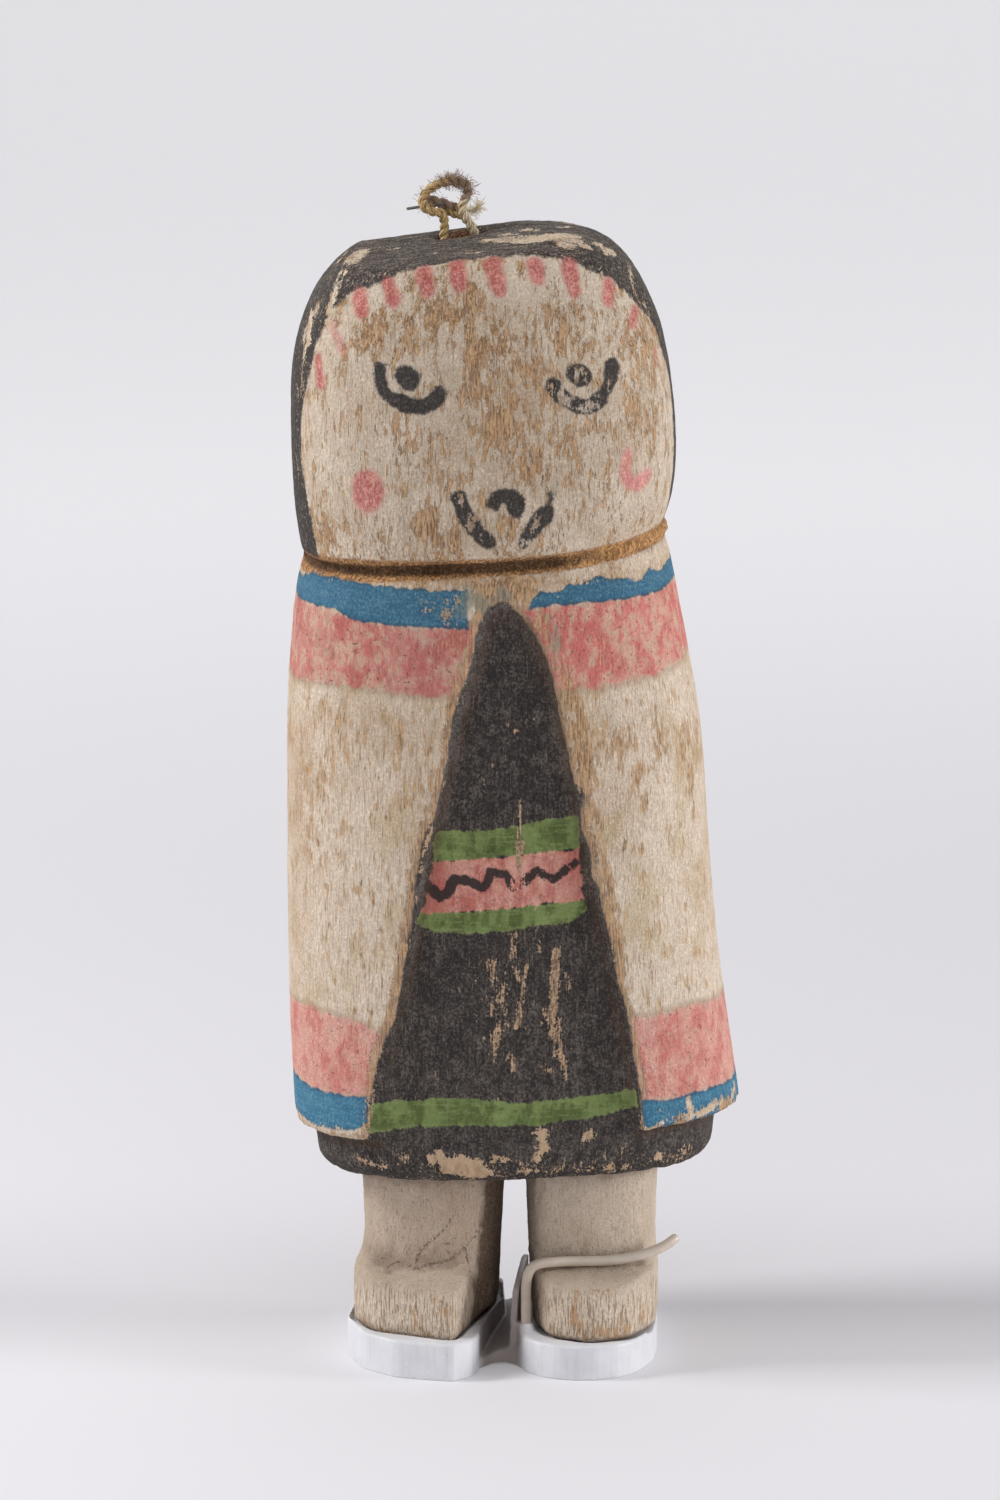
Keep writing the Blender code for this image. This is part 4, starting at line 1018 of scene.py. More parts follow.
def carving_finish(paint, carving):
    """Matte mineral paints over white clay on old root wood, worn through along the grain."""
    f = Finish("painted_wood")
    place = f.place()
    x, height = f.part(place, "X"), f.part(place, "Z")
    line = f.noise(place, (0.36, 0.36, 3.8), 2.0, 0.6)
    fleck = f.noise(place, (0.9, 0.9, 3.4), 3.0, 0.65)
    patch = f.noise(place, (3.0, 3.0, 5.5), 3.0, 0.6)
    mottle = f.noise(place, (9.0, 9.0, 12.0), 2.0, 0.5)
    grit = f.noise(place, (0.46, 0.46, 0.54), 2.0, 0.7)
    blot = f.noise(place, (1.7, 1.7, 2.0), 3.0, 0.65)
    pore = f.noise(place, (0.24, 0.24, 2.4), 1.0, 0.5).ramp(0.58, 0.72)
    brush = f.noise(place, (5.0, 5.0, 0.7), 3.0, 0.6)
    swept = f.noise(place, (5.0, 1.1, 0.9), 3.0, 0.65)
    speck = fleck * 0.5 + grit * 0.5
    cloud = mottle * 0.4 + patch * 0.6
    coarse = grit * 0.6 + blot * 0.4
    worn, faded, browned, relief, depth, upward = (
        f.attribute(name) for name in ("worn", "faded", "browned", "relief", "dress", "upward"))
    ragged = (patch - 0.5) * 4.6 + (blot - 0.5) * 2.2 + (grit - 0.5) * 1.2
    fine_ragged = (patch - 0.5) * 1.0 + (blot - 0.5) * 1.7 + (grit - 0.5) * 1.3
    smooth_edge = (patch - 0.5) * 2.2 + (blot - 0.5) * 1.3 + (grit - 0.5) * 0.5
    wearing = fleck * 0.36 + patch * 0.32 + line * 0.18 + grit * 0.14
    rubbing = line * 0.40 + grit * 0.36 + fleck * 0.24

    # Where the wood shows: worn places, the neck groove and a strip beside the opening.
    legs = f.attribute("legs").ramp(-0.2, 0.2)
    shin = legs * height.ramp(13.0, 19.0)
    toes = legs * (1 - height.ramp(15.0, 19.0))
    head = height.ramp(164.0, 168.0)
    under = 1 - depth.ramp(-0.2, 0.4) * 0.85
    low_left = (1 - head) * (1 - x.ramp(-22.0, 8.0)) * (1 - height.ramp(100.0, 132.0))
    worn_through = (wearing + worn * 0.13 * under + browned * 0.022
                    + relief * (0.10 - 0.07 * legs) - shin * 0.045 - legs * 0.008
                    - (1 - head) * 0.004 - low_left * 0.014)
    bare = worn_through.ramp(0.536 + 0.004 * head, 0.592 - 0.018 * head)
    # A painted highlight on the raised clay around the worn places.
    lip_highlight = worn_through.ramp(0.512, 0.542) * (1 - bare) * head
    neck = f.attribute("neck")
    groove = (neck + (1 - x.ramp(-34.0, -4.0)) * 0.55 + (blot - 0.5) * 0.9).ramp(-0.3, 0.5)
    beside = f.attribute("beside") + (patch - 0.5) * 5.0 + (grit - 0.5) * 1.6
    beside = (1 - beside.ramp(0.9, 1.7)) * height.ramp(52.0, 60.0)
    bare = bare.at_least(groove).at_least(beside * 0.85)

    # Bare wood and the clay ground, with paler toes and dirty shins, the left shin painted darker
    # as shade.
    wood = f.layered(
        f.mix(line.ramp(0.40, 0.56), paint.wood_dark, paint.wood),
        (fleck.ramp(0.40, 0.66) * 0.45, tone(214, 182, 142)),
        (toes * 0.6, tone(196, 150, 104)))
    dingy = (browned * 0.75 + (mottle - 0.5) * 1.5).at_least(0.0).at_most(0.9)
    lines = 0.50 - 0.34 * shin - 0.26 * height.ramp(200.0, 212.0)
    stained = (mottle * 0.7 + patch * 0.3).ramp(0.49, 0.60) * (1 - head) * (1 - legs)
    # Painted shade: the left leg gets more of the greyer shin tone than the right leg, which faces
    # the brighter light.
    left = 1 - x.ramp(-3.0, 3.0) * 0.65
    clay = f.layered(
        f.mix(dingy, paint.clay, paint.clay_brown),
        (line.ramp(0.48, 0.64) * lines, tone(172, 138, 106)),
        (grit.ramp(0.52, 0.72) * 0.40, tone(236, 224, 206)),
        (height.ramp(168.0, 174.0) * 0.16, tone(166, 154, 134)),
        # painted highlight on the raised clay edge
        (lip_highlight * 0.30, tone(238, 226, 208)),
        (stained * 0.38, tone(200, 178, 138)),
        # greyer shin tone, stronger on the left leg as painted shade
        (shin * (0.50 + 0.2 * patch.ramp(0.40, 0.62)) * left, tone(182, 160, 142)),
        (shin * coarse.ramp(0.54, 0.62) * (0.46 + 0.14 * left), tone(112, 88, 70)),
        (shin * (patch * 0.6 + blot * 0.4).ramp(0.52, 0.60) * 0.30, tone(214, 196, 176)),
        (toes * 0.35, tone(208, 190, 170)),
        (toes * line.ramp(0.50, 0.58) * 0.62, tone(132, 108, 86)),
        (toes * (1 - line).ramp(0.53, 0.62) * 0.45, tone(228, 212, 192)))
    # A painted shade along the edges of the worn places, where the clay steps down to the wood.
    rim = bare * (1 - worn_through.ramp(0.566, 0.600)) * (1 - groove)
    warp = f.node("ShaderNodeTexNoise", {}, {"Vector": f.scaled(place, 0.5), "Scale": 1.0,
                                             "Detail": 3.0}, "Color")
    cells = f.vector("ADD", f.scaled(place, 0.55), f.scaled(warp, 1.5))
    pits = f.node("ShaderNodeTexVoronoi", {}, {"Vector": cells, "Scale": 1.0})
    blistered = height.ramp(205.0, 211.0) * cloud.ramp(0.47, 0.54)
    ring = pits.ramp(0.24, 0.32) * (1 - pits.ramp(0.38, 0.48)) * blistered
    tint = f.layered(
        f.mix(bare * (0.88 - 0.16 * toes), clay, wood),
        # painted shade at the edges of the worn places
        (rim * (0.10 + 0.20 * head), paint.wood_dark),
        (ring * fleck.ramp(0.40, 0.56) * 0.75, tone(152, 112, 70)),
        (pore * (0.30 + 0.45 * bare), paint.wood_dark),
        # dark stained wood with painted shade on the legs' inner sides
        (f.attribute("inner_leg").ramp(0.15, 0.75) * 0.85,
         f.mix(grit.ramp(0.44, 0.58), tone(64, 46, 34), tone(104, 80, 62))))

    # The crust in the neck groove, dark on the left and orange on the right; the dark deep in the
    # groove's left part is painted shade.
    to_right = (x + (blot - 0.5) * 20).ramp(4.0, 20.0)
    # Painted shade deep in the narrow left part of the groove.
    groove_shade = neck.ramp(0.35, 1.15) * (1 - 0.93 * to_right)
    crumbs = (grit * 0.6 + fleck * 0.4).ramp(0.42, 0.60)
    crust = f.mix(to_right, f.mix(crumbs, tone(112, 72, 36), tone(206, 152, 94)),
                  f.mix(crumbs, tone(146, 96, 48), tone(214, 160, 98)))
    tint = f.layered(tint, (groove * 0.75, crust),
                     (groove_shade * (0.92 - 0.30 * crumbs), tone(58, 36, 18)))

    # The black hair, its flakes and the stained hole for the string.
    dusty = upward * 0.42 + (swept - 0.5) * 2.0 + (grit - 0.5) * 3.2
    hair_tint = f.layered(
        paint.black,
        (dusty.ramp(0.0, 1.2), tone(132, 119, 109)),
        ((swept * 0.4 + grit * 0.6).ramp(0.56, 0.66) * 0.6, tone(170, 152, 134)))
    chips = f.attribute("chips") + (blot - 0.5) * 3.6 + (grit - 0.5) * 2.4 + (patch - 0.5) * 1.6
    chips = chips.ramp(-0.12, 0.12)
    intact = 1 - chips
    chip_tint = f.layered(
        f.mix(depth.ramp(-0.3, 0.3), tone(224, 204, 178), tone(196, 164, 130)),
        (speck.ramp(0.48, 0.60) * 0.65, tone(150, 120, 92)))
    hair_wear = rubbing * 0.5 + wearing * 0.5 + f.attribute("rubbed") * 0.17 + relief * 0.16
    hair = painted(f.attribute("hair"), fine_ragged * 1.4, hair_wear, 0.625, 0.35)
    pit = (f.attribute("pit") + (grit - 0.5) * 3.0).ramp(0.0, 1.6)
    tint = f.layered(
        tint, (chips * 0.8, chip_tint), (hair * 0.96 * intact, hair_tint),
        (pit, f.mix(grit.ramp(0.4, 0.65), tone(84, 56, 42), tone(140, 104, 78))))

    # The dashes, cheeks, eyes and mouth.
    rose = f.layered(
        f.mix(coarse.ramp(0.40, 0.64), paint.red, tone(214, 148, 136)),
        (x.ramp(18.0, 21.0) * (1 - height.ramp(196.0, 200.0)) * 0.5, tone(240, 168, 162)))
    dash_wear = rubbing + faded * 0.12
    for name, share, hold, soft in (("dashes", 0.88, 0.60, 0.7), ("faint_dashes", 0.50, 0.52, 0.9),
                                    ("cheeks", 0.84, 0.59, 0.8)):
        drawn = painted(f.attribute(name), fine_ragged, dash_wear, hold, soft, 0.16)
        tint = f.mix(drawn * share, tint, rose)
    stroke_wear = blot * 0.40 + fleck * 0.34 + line * 0.14 + grit * 0.12 + faded * 0.15
    strokes = f.attribute("features")
    ghost = painted(strokes, fine_ragged * 1.2, stroke_wear, 0.72, 0.5, 0.1)
    features = painted(strokes, fine_ragged * 0.9, stroke_wear, 0.610, 0.3, 0.06)
    tint = f.layered(
        tint, (ghost * 0.30, tone(116, 112, 112)),
        (features * 0.94, f.mix(grit.ramp(0.45, 0.75) * 0.6, paint.black, paint.dust)))

    # The shawl's pink bands, then the blue ones.
    edge = f.attribute("pink")
    rim = (edge + ragged * 0.5).ramp(-1.9, -0.4) * (1 - edge.ramp(-0.3, 0.5))
    high = height.ramp(120.0, 140.0)
    rosy = (mottle * 0.4 + patch * 0.4 + blot * 0.2).ramp(0.45, 0.58)
    pale = (1 - height.ramp(70.0, 110.0)) * (1 - (patch * 0.6 + fleck * 0.4)).ramp(0.42, 0.56)
    crusty = (1 - (patch * 0.5 + blot * 0.3 + grit * 0.2)).ramp(0.50, 0.57) * high
    pink = f.layered(
        paint.pink,
        (speck.ramp(0.44, 0.62) * 0.60, tone(220, 178, 158)),
        (rosy * (0.52 + 0.28 * height.ramp(80.0, 130.0)), tone(202, 96, 96)),
        ((blot * 0.7 + grit * 0.3).ramp(0.54, 0.66) * 0.60, tone(196, 84, 86)),
        ((1 - (blot * 0.6 + grit * 0.4)).ramp(0.54, 0.66) * 0.70, tone(224, 194, 170)),
        (high * (1 - x.ramp(-10.0, 14.0)) * 0.22, tone(128, 84, 76)),
        (pale * 0.35, tone(226, 186, 172)),
        (crusty * 0.65, tone(206, 172, 148)))
    pinks = painted(edge, fine_ragged * 1.3, wearing + worn * 0.15, 0.59, 0.7, 0.12)
    pinks = pinks * (1 - beside * 0.75)
    spots = f.noise(place, (0.8, 0.8, 0.8), 1.0, 0.5).ramp(0.66, 0.72)
    band = f.attribute("blue")
    blue = f.layered(
        paint.blue,
        ((brush * 0.4 + grit * 0.6).ramp(0.44, 0.64) * 0.6, tone(94, 148, 164)),
        ((1 - band.ramp(0.0, 0.8)) * 0.6, tone(40, 72, 92)))
    blue = f.scaled(blue, 1.10 - 0.22 * height.ramp(60.0, 150.0))
    blue_wear = wearing * 0.60 + blot * 0.18 + grit * 0.22 + worn * 0.15
    blues = painted(band, ragged * 0.5, blue_wear, 0.620, 0.25)
    smears = (f.attribute("smears") + (fleck - 0.5) * 1.6 + (grit - 0.5) * 1.2).ramp(0.3, 0.9)
    tint = f.layered(
        tint, (rim * 0.5, tone(170, 144, 118)), (pinks * 0.90, pink),
        (pinks * spots * 0.6, tone(116, 62, 58)), (blues * 0.95 * intact, blue),
        (smears * 0.65, tone(126, 134, 122)))

    # The black dress with its green bands, pink sash and zigzag.
    dress_wear = rubbing * 0.62 + wearing * 0.38 + worn * 0.24 + relief * 0.14
    dress = painted(depth, fine_ragged * 1.3, dress_wear, 0.640, 0.3, 0.07)
    # The dress is paler where its paint is thin or dusty, and in a strip beside the opening's
    # edges, which is painted light on the bevelled cut.
    sides = (1 - (depth + x.ramp(-3.0, 3.0) * 1.6).ramp(2.6, 4.2)) * height.ramp(70.0, 112.0)
    thin = ((blot - 0.5) * 1.4 + (patch - 0.5) * 1.6 + (grit - 0.5) * 3.0 + (line - 0.5) * 0.6
            + sides * 0.44 + upward * 0.25 + (1 - height.ramp(58.0, 90.0)) * 0.12 - 0.02)
    scratch = f.noise(place, (0.42, 0.42, 6.0), 2.0, 0.6).ramp(0.665, 0.71)
    cloth = f.layered(paint.black, (thin.ramp(-0.45, 1.20), paint.dust),
                      (scratch * 0.45, tone(150, 140, 130)))
    shown = f.mix((grit * 0.6 + line * 0.4).ramp(0.42, 0.60),
                  tone(124, 102, 84), tone(192, 162, 132))
    green_edge = f.attribute("green")
    greens = painted(green_edge, smooth_edge, dress_wear, 0.650, 0.22, 0.05)
    green = f.layered(
        tone(92, 106, 58), (cloud.ramp(0.44, 0.56), paint.green),
        ((brush * 0.7 + grit * 0.3).ramp(0.50, 0.62) * 0.40, tone(152, 164, 104)),
        ((1 - blot).ramp(0.58, 0.70) * 0.5, tone(72, 76, 54)),
        # painted highlight along the edges of the green bands, where the raised paint catches the
        # light
        ((1 - green_edge.ramp(-0.2, 1.0)) * 0.30, tone(140, 152, 98)))
    redder = (1 - x.ramp(-18.0, -10.0)).at_least(x.ramp(6.0, 13.0) * 0.6) + (mottle - 0.5) * 2.0
    sash_rose = f.layered(
        tone(196, 116, 106), (cloud.ramp(0.42, 0.58), tone(222, 164, 146)),
        (speck.ramp(0.50, 0.64) * 0.5, tone(226, 186, 168)),
        (redder.ramp(0.0, 1.0) * 0.6, tone(180, 84, 76)),
        ((1 - (blot * 0.5 + grit * 0.5)).ramp(0.54, 0.66) * 0.35, tone(150, 88, 76)))
    sash = painted(f.attribute("sash"), smooth_edge, dress_wear, 0.65, 0.22, 0.05)
    zigzag_wear = stroke_wear * 0.8 + dress_wear * 0.2
    zigzag = painted(f.attribute("zigzag"), fine_ragged * 0.8, zigzag_wear, 0.625, 0.2, 0.06)
    tint = f.layered(
        tint, (depth.ramp(-0.1, 0.2) * intact * 0.85, shown), (dress * 0.97 * intact, cloth),
        (greens * 0.96, green), (sash * 0.95, sash_rose), (zigzag * 0.95, paint.black))

    # Cracks, dirt and painted shade in the hollows, painted shade along the soles, and the small
    # relief of the surface.
    cracks = (f.attribute("cracks") + (grit - 0.5) * 1.4).ramp(-0.12, 0.14)
    tint = f.layered(
        tint, (cracks * 0.60, tone(84, 62, 46)),
        # dirt and painted shade in the hollows
        ((relief * -1.0).ramp(0.02, 0.45) * 0.45, tone(84, 62, 46)),
        # painted shade along the soles, where they stand in the mount's recess
        ((1 - height.ramp(6.4, 8.2)) * 0.6, tone(70, 52, 38)))
    brushed = greens.at_least(sash * 0.7)
    tint = f.scaled(tint, 1.0 + (grit - 0.5) * (0.85 - 0.35 * brushed) + (blot - 0.5) * 0.25
                    + (line - 0.5) * (0.45 - 0.40 * brushed))
    paint_on = (hair.at_least(dress).at_least(blues) * intact).at_least(pinks)
    bumps = (grit * (0.36 + 0.34 * shin) + blot * (0.5 + 0.3 * shin)
             + line * (0.46 - paint_on * 0.22) + paint_on * 0.12 + pinks * blot * 0.5
             - ring * 0.2 + (1 - bare) * 0.26 - pore * 0.08 - cracks * 0.4)
    return f.finish(tint, 0.88 + (grit - 0.5) * 0.2, bumps * (carving.pore_depth / MM),
                    Specular_IOR_Level=0.3)


def string_finish(settings):
    """Twisted plant fibre: golden on one side of the loop, pale on the other, dirty on top."""
    f = Finish("twisted_fibre")
    place = f.place()
    along = f.attribute("along") / MM
    around = f.attribute("around") * (2 * math.pi)
    strands = (around * 6.0 + along * 3.0).sine() * 0.5 + 0.5
    blot = f.noise(place, (1.1, 1.1, 1.1), 2.0, 0.6)
    fine = f.noise(place, (0.22, 0.22, 0.22), 2.0, 0.6)
    x, z = f.part(place, "X"), f.part(place, "Z")
    aged = x.ramp(-14.0, -10.5) * z.ramp(236.5, 238.6) + (blot - 0.5) * 1.2
    tint = f.layered(
        settings.golden, (x.ramp(-12.5, -9.5), settings.light),
        (aged.at_least(0.0).at_most(0.9), settings.dark),
        # painted shade in the grooves between the fibres
        ((1 - strands.ramp(0.05, 0.5)) * 0.55, tone(104, 76, 48)))
    tint = f.scaled(tint, 1.0 + (fine - 0.5) * 1.4)
    return f.finish(tint, 0.85, strands * 0.12 + fine * 0.08, Specular_IOR_Level=0.3)


def dark_fibre_finish(settings):
    """Aged fibre, brown to a purplish grey, with paler hairs."""
    f = Finish("aged_fibre")
    place = f.place()
    blot = f.noise(place, (0.7, 0.7, 0.7), 2.0, 0.6)
    fine = f.noise(place, (0.3, 0.3, 0.3), 2.0, 0.6)
    tint = f.layered(settings.dark, (blot.ramp(0.42, 0.60), tone(150, 128, 112)),
                     (fine.ramp(0.54, 0.66) * 0.7, tone(206, 180, 138)))
    return f.finish(tint, 0.9, fine * 0.05, Specular_IOR_Level=0.3)


def quill_finish(mount):
    """A dry quill with fine lines along it."""
    f = Finish("dry_quill")
    place = f.place()
    lines = f.noise(place, (2.5, 0.15, 0.15), 2.0)
    tint = f.mix(lines.ramp(0.35, 0.7), tone(96, 94, 84), mount.quill)
    return f.finish(tint, 0.5, lines * 0.03)


def mount_finish(mount):
    """Satin white paint, brushed thinly over filed metal, with painted shade, brown as a painted
    reflection of the wood, in the hollow between the feet.
    """
    f = Finish("white_mount_paint")
    place = f.place()
    brush = f.noise(place, (0.7, 0.7, 9.0), 2.0, 0.6)
    cloud = f.noise(place, (6.0, 6.0, 6.0), 2.0, 0.5)
    nick = f.noise(place, (0.8, 0.8, 0.6), 2.0, 0.5)
    x, y = f.part(place, "X"), f.part(place, "Y")
    # Painted shade and painted reflection of the wood in the hollow between the feet.
    between = (x + (cloud - 0.5) * 2).ramp(-9.0, -6.0) * (1 - x.ramp(0.6, 3.2))
    tint = f.layered(
        mount.paint, (cloud.ramp(0.4, 0.7) * 0.30, tone(206, 206, 212)),
        (brush.ramp(0.5, 0.75) * 0.22, tone(196, 196, 202)),
        (nick.ramp(0.73, 0.76) * 0.6, tone(120, 118, 120)),
        (between * y.ramp(-25.0, -21.5) * 0.85, tone(122, 106, 98)))
    return f.finish(tint, 0.42 + (cloud - 0.5) * 0.3, brush * 0.05 + cloud * 0.10)


def sleeve_finish(mount):
    """Cloudy plastic tubing, darker where it stands in the mount's shade."""
    f = Finish("sleeve_plastic")
    place = f.place()
    cloud = f.noise(place, (4.0, 2.4, 2.4), 2.0, 0.5)
    tint = f.layered(
        mount.sleeve, (cloud.ramp(0.3, 0.75) * 0.5, tone(186, 170, 152)),
        ((1 - f.part(place, "Z").ramp(14.0, 24.0)) * 0.45, tone(132, 116, 98)))
    return f.finish(tint, 0.26 + (cloud - 0.5) * 0.12, cloud * 0.02, Subsurface_Weight=0.25,
                    Subsurface_Scale=0.002, Coat_Weight=0.3, Coat_Roughness=0.2)


def floor_finish(stage):
    """Pale paper that glows more strongly before and behind the doll."""
    f = Finish("backdrop_paper")
    y = f.part(f.place(), "Y")
    # The glow is painted light; where the doll stands it is lowest, a painted shadow band across
    # the paper.
    glow = f.layered(
        (stage.front_glow,) * 3, (y.ramp(-20.0, 35.0), (stage.near_glow,) * 3),
        (y.ramp(18.0, 132.0), (stage.back_glow,) * 3),
        (y.ramp(300.0, 1000.0), (stage.far_glow,) * 3))
    f.put(glow, f.shader.inputs["Emission Color"])
    f.shader.inputs["Emission Strength"].default_value = 1.0
    return f.finish(stage.floor, 0.9, None, Specular_IOR_Level=0.1)


def poly_curve(name, path):
    """A curve object of one straight-sided spline through the path, in metres."""
    curve = bpy.data.curves.new(name, "CURVE")
    curve.dimensions = "3D"
    spline = curve.splines.new("POLY")
    spline.points.add(len(path) - 1)
    for target, point in zip(spline.points, path):
        target.co = (*point, 1.0)
    piece = bpy.data.objects.new(name, curve)
    bpy.context.scene.collection.objects.link(piece)
    return piece


class Recipe(Board):
    """A Geometry Nodes tree with named inputs, which ends in real geometry and a material."""

    def __init__(self, name, numbers):
        tree = bpy.data.node_groups.new(name, "GeometryNodeTree")
        super().__init__(tree)
        tree.interface.new_socket("Geometry", in_out="INPUT", socket_type="NodeSocketGeometry")
        tree.interface.new_socket("Geometry", in_out="OUTPUT", socket_type="NodeSocketGeometry")
        self.keys = {}
        for label, kind in numbers.items():
            socket = tree.interface.new_socket(label, in_out="INPUT", socket_type=kind)
            self.keys[label] = socket.identifier
        self.entry = tree.nodes.new("NodeGroupInput")

    def given(self, label):
        return Wire(self, self.entry.outputs[label])

    def close(self, geometry, material):
        real = self.node("GeometryNodeRealizeInstances", {}, {0: geometry})
        dressed = self.node("GeometryNodeSetMaterial", {}, {0: real, "Material": material})
        exit_node = self.tree.nodes.new("NodeGroupOutput")
        self.put(dressed, exit_node.inputs[0])

    def bake(self, source, name, values):
        """The mesh that this tree makes of a source object, which is then removed."""
        modifier = source.modifiers.new("recipe", "NODES")
        modifier.node_group = self.tree
        for label, value in values.items():
            modifier[self.keys[label]] = value
        mesh = evaluated_mesh(source, name)
        bpy.data.objects.remove(source, do_unlink=True)
        return add_piece(name, mesh)


def ply_recipe(material):
    """Two plies wound round a curve, with their length and turn kept for the finish."""
    recipe = Recipe("twisted plies", {"Ply Radius": "NodeSocketFloat",
                                      "Ply Offset": "NodeSocketFloat",
                                      "Pitch": "NodeSocketFloat", "Step": "NodeSocketFloat"})
    line = recipe.node("GeometryNodeResampleCurve", {"mode": "LENGTH"},
                       {"Curve": recipe.given("Geometry"), "Length": recipe.given("Step")})
    run = recipe.node("GeometryNodeSplineParameter", output="Length")
    line = recipe.node("GeometryNodeStoreNamedAttribute",
                       {"data_type": "FLOAT", "domain": "POINT"},
                       {"Geometry": line, "Name": "along", "Value": run})
    tangent = recipe.node("GeometryNodeInputTangent")
    normal = recipe.node("GeometryNodeInputNormal")
    third = recipe.vector("CROSS_PRODUCT", tangent, normal)
    ring = recipe.node("GeometryNodeCurvePrimitiveCircle", {},
                       {"Resolution": 12, "Radius": recipe.given("Ply Radius")})
    turn = recipe.node("GeometryNodeSplineParameter", output="Factor")
    ring = recipe.node("GeometryNodeStoreNamedAttribute",
                       {"data_type": "FLOAT", "domain": "POINT"},
                       {"Geometry": ring, "Name": "around", "Value": turn})
    joined = recipe.tree.nodes.new("GeometryNodeJoinGeometry")
    for start in (0.0, math.pi):
        angle = run / recipe.given("Pitch") * (2 * math.pi) + start
        across = recipe.vector("ADD", recipe.scaled(normal, angle.cosine()),
                               recipe.scaled(third, angle.sine()))
        ply = recipe.node("GeometryNodeSetPosition", {},
                          {"Geometry": line,
                           "Offset": recipe.scaled(across, recipe.given("Ply Offset"))})
        tube = recipe.node("GeometryNodeCurveToMesh", {},
                           {"Curve": ply, "Profile Curve": ring, "Fill Caps": True})
        recipe.put(tube, joined.inputs[0])
    recipe.close(Wire(recipe, joined.outputs[0]), material)
    return recipe


def fray_recipe(material):
    """Short bent fibres set along a curve, leaning out of it at random."""
    recipe = Recipe("loose fibres", {"Count": "NodeSocketInt", "Fibre Length": "NodeSocketFloat",
                                     "Fibre Radius": "NodeSocketFloat",
                                     "Lean": "NodeSocketFloat", "Spread": "NodeSocketFloat"})
    places = recipe.node("GeometryNodeResampleCurve", {"mode": "COUNT"},
                         {"Curve": recipe.given("Geometry"), "Count": recipe.given("Count")})
    reach = recipe.given("Spread")
    jitter = recipe.node("FunctionNodeRandomValue", {"data_type": "FLOAT_VECTOR"},
                         {0: (-1.0, -1.0, -1.0), 1: (1.0, 1.0, 1.0), "Seed": 3})
    places = recipe.node("GeometryNodeSetPosition", {},
                         {"Geometry": places, "Offset": recipe.scaled(jitter, reach)})
    bend = recipe.node("GeometryNodeCurveQuadraticBezier", {},
                       {"Resolution": 6, "Start": (0.0, 0.0, 0.0), "Middle": (0.5, 0.0, 0.04),
                        "End": (0.9, 0.0, 0.38)})
    bend = recipe.node("GeometryNodeTransform", {},
                       {"Geometry": bend,
                        "Scale": recipe.scaled((1.0, 1.0, 1.0), recipe.given("Fibre Length"))})
    tip = recipe.node("GeometryNodeSplineParameter", output="Factor")
    bend = recipe.node("GeometryNodeSetCurveRadius", {},
                       {0: bend, "Radius": 1.0 - tip * 0.75})
    ring = recipe.node("GeometryNodeCurvePrimitiveCircle", {},
                       {"Resolution": 4, "Radius": recipe.given("Fibre Radius")})
    fibre = recipe.node("GeometryNodeCurveToMesh", {},
                        {"Curve": bend, "Profile Curve": ring, "Fill Caps": True})
    aim = recipe.node("FunctionNodeAlignRotationToVector", {"axis": "X"},
                      {"Vector": recipe.node("GeometryNodeInputTangent")}, 0)
    lean = recipe.given("Lean")
    roll = recipe.node("FunctionNodeRandomValue", {"data_type": "FLOAT"},
                       {2: 0.0, 3: 2 * math.pi, "Seed": 11}, 1)
    tilt = recipe.node("FunctionNodeRandomValue", {"data_type": "FLOAT"},
                       {2: -0.2, 3: 1.0, "Seed": 12}, 1)
    turn = recipe.node("ShaderNodeCombineXYZ", {}, {0: roll, 1: -(tilt * lean)})
    turn = recipe.node("FunctionNodeEulerToRotation", {}, {0: turn})
    turned = recipe.node("FunctionNodeRotateRotation", {"rotation_space": "LOCAL"},
                         {0: aim, 1: turn})
    size = recipe.node("FunctionNodeRandomValue", {"data_type": "FLOAT"},
                       {2: 0.45, 3: 1.25, "Seed": 13}, 1)
    hairs = recipe.node("GeometryNodeInstanceOnPoints", {},
                        {"Points": places, "Instance": fibre, "Rotation": turned,
                         "Scale": size})
    recipe.close(hairs, material)
    return recipe


class DOLL_OT_carving(bpy.types.Operator):
    """Build the carved and painted wooden doll"""
    bl_idname = "painted_doll.carving"
    bl_label = "Carving"

    def execute(self, context):
        scene = context.scene
        piece, edges = fine_surface(scene.doll_carving)
        points = carve_relief(piece, edges, scene.doll_carving)
        lay_out_paint(piece, points)
        piece.data.shade_smooth()
        piece.data.materials.clear()
        piece.data.materials.append(carving_finish(scene.doll_paint, scene.doll_carving))
        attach(piece, BODY)
        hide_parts("doll")
        return {"FINISHED"}


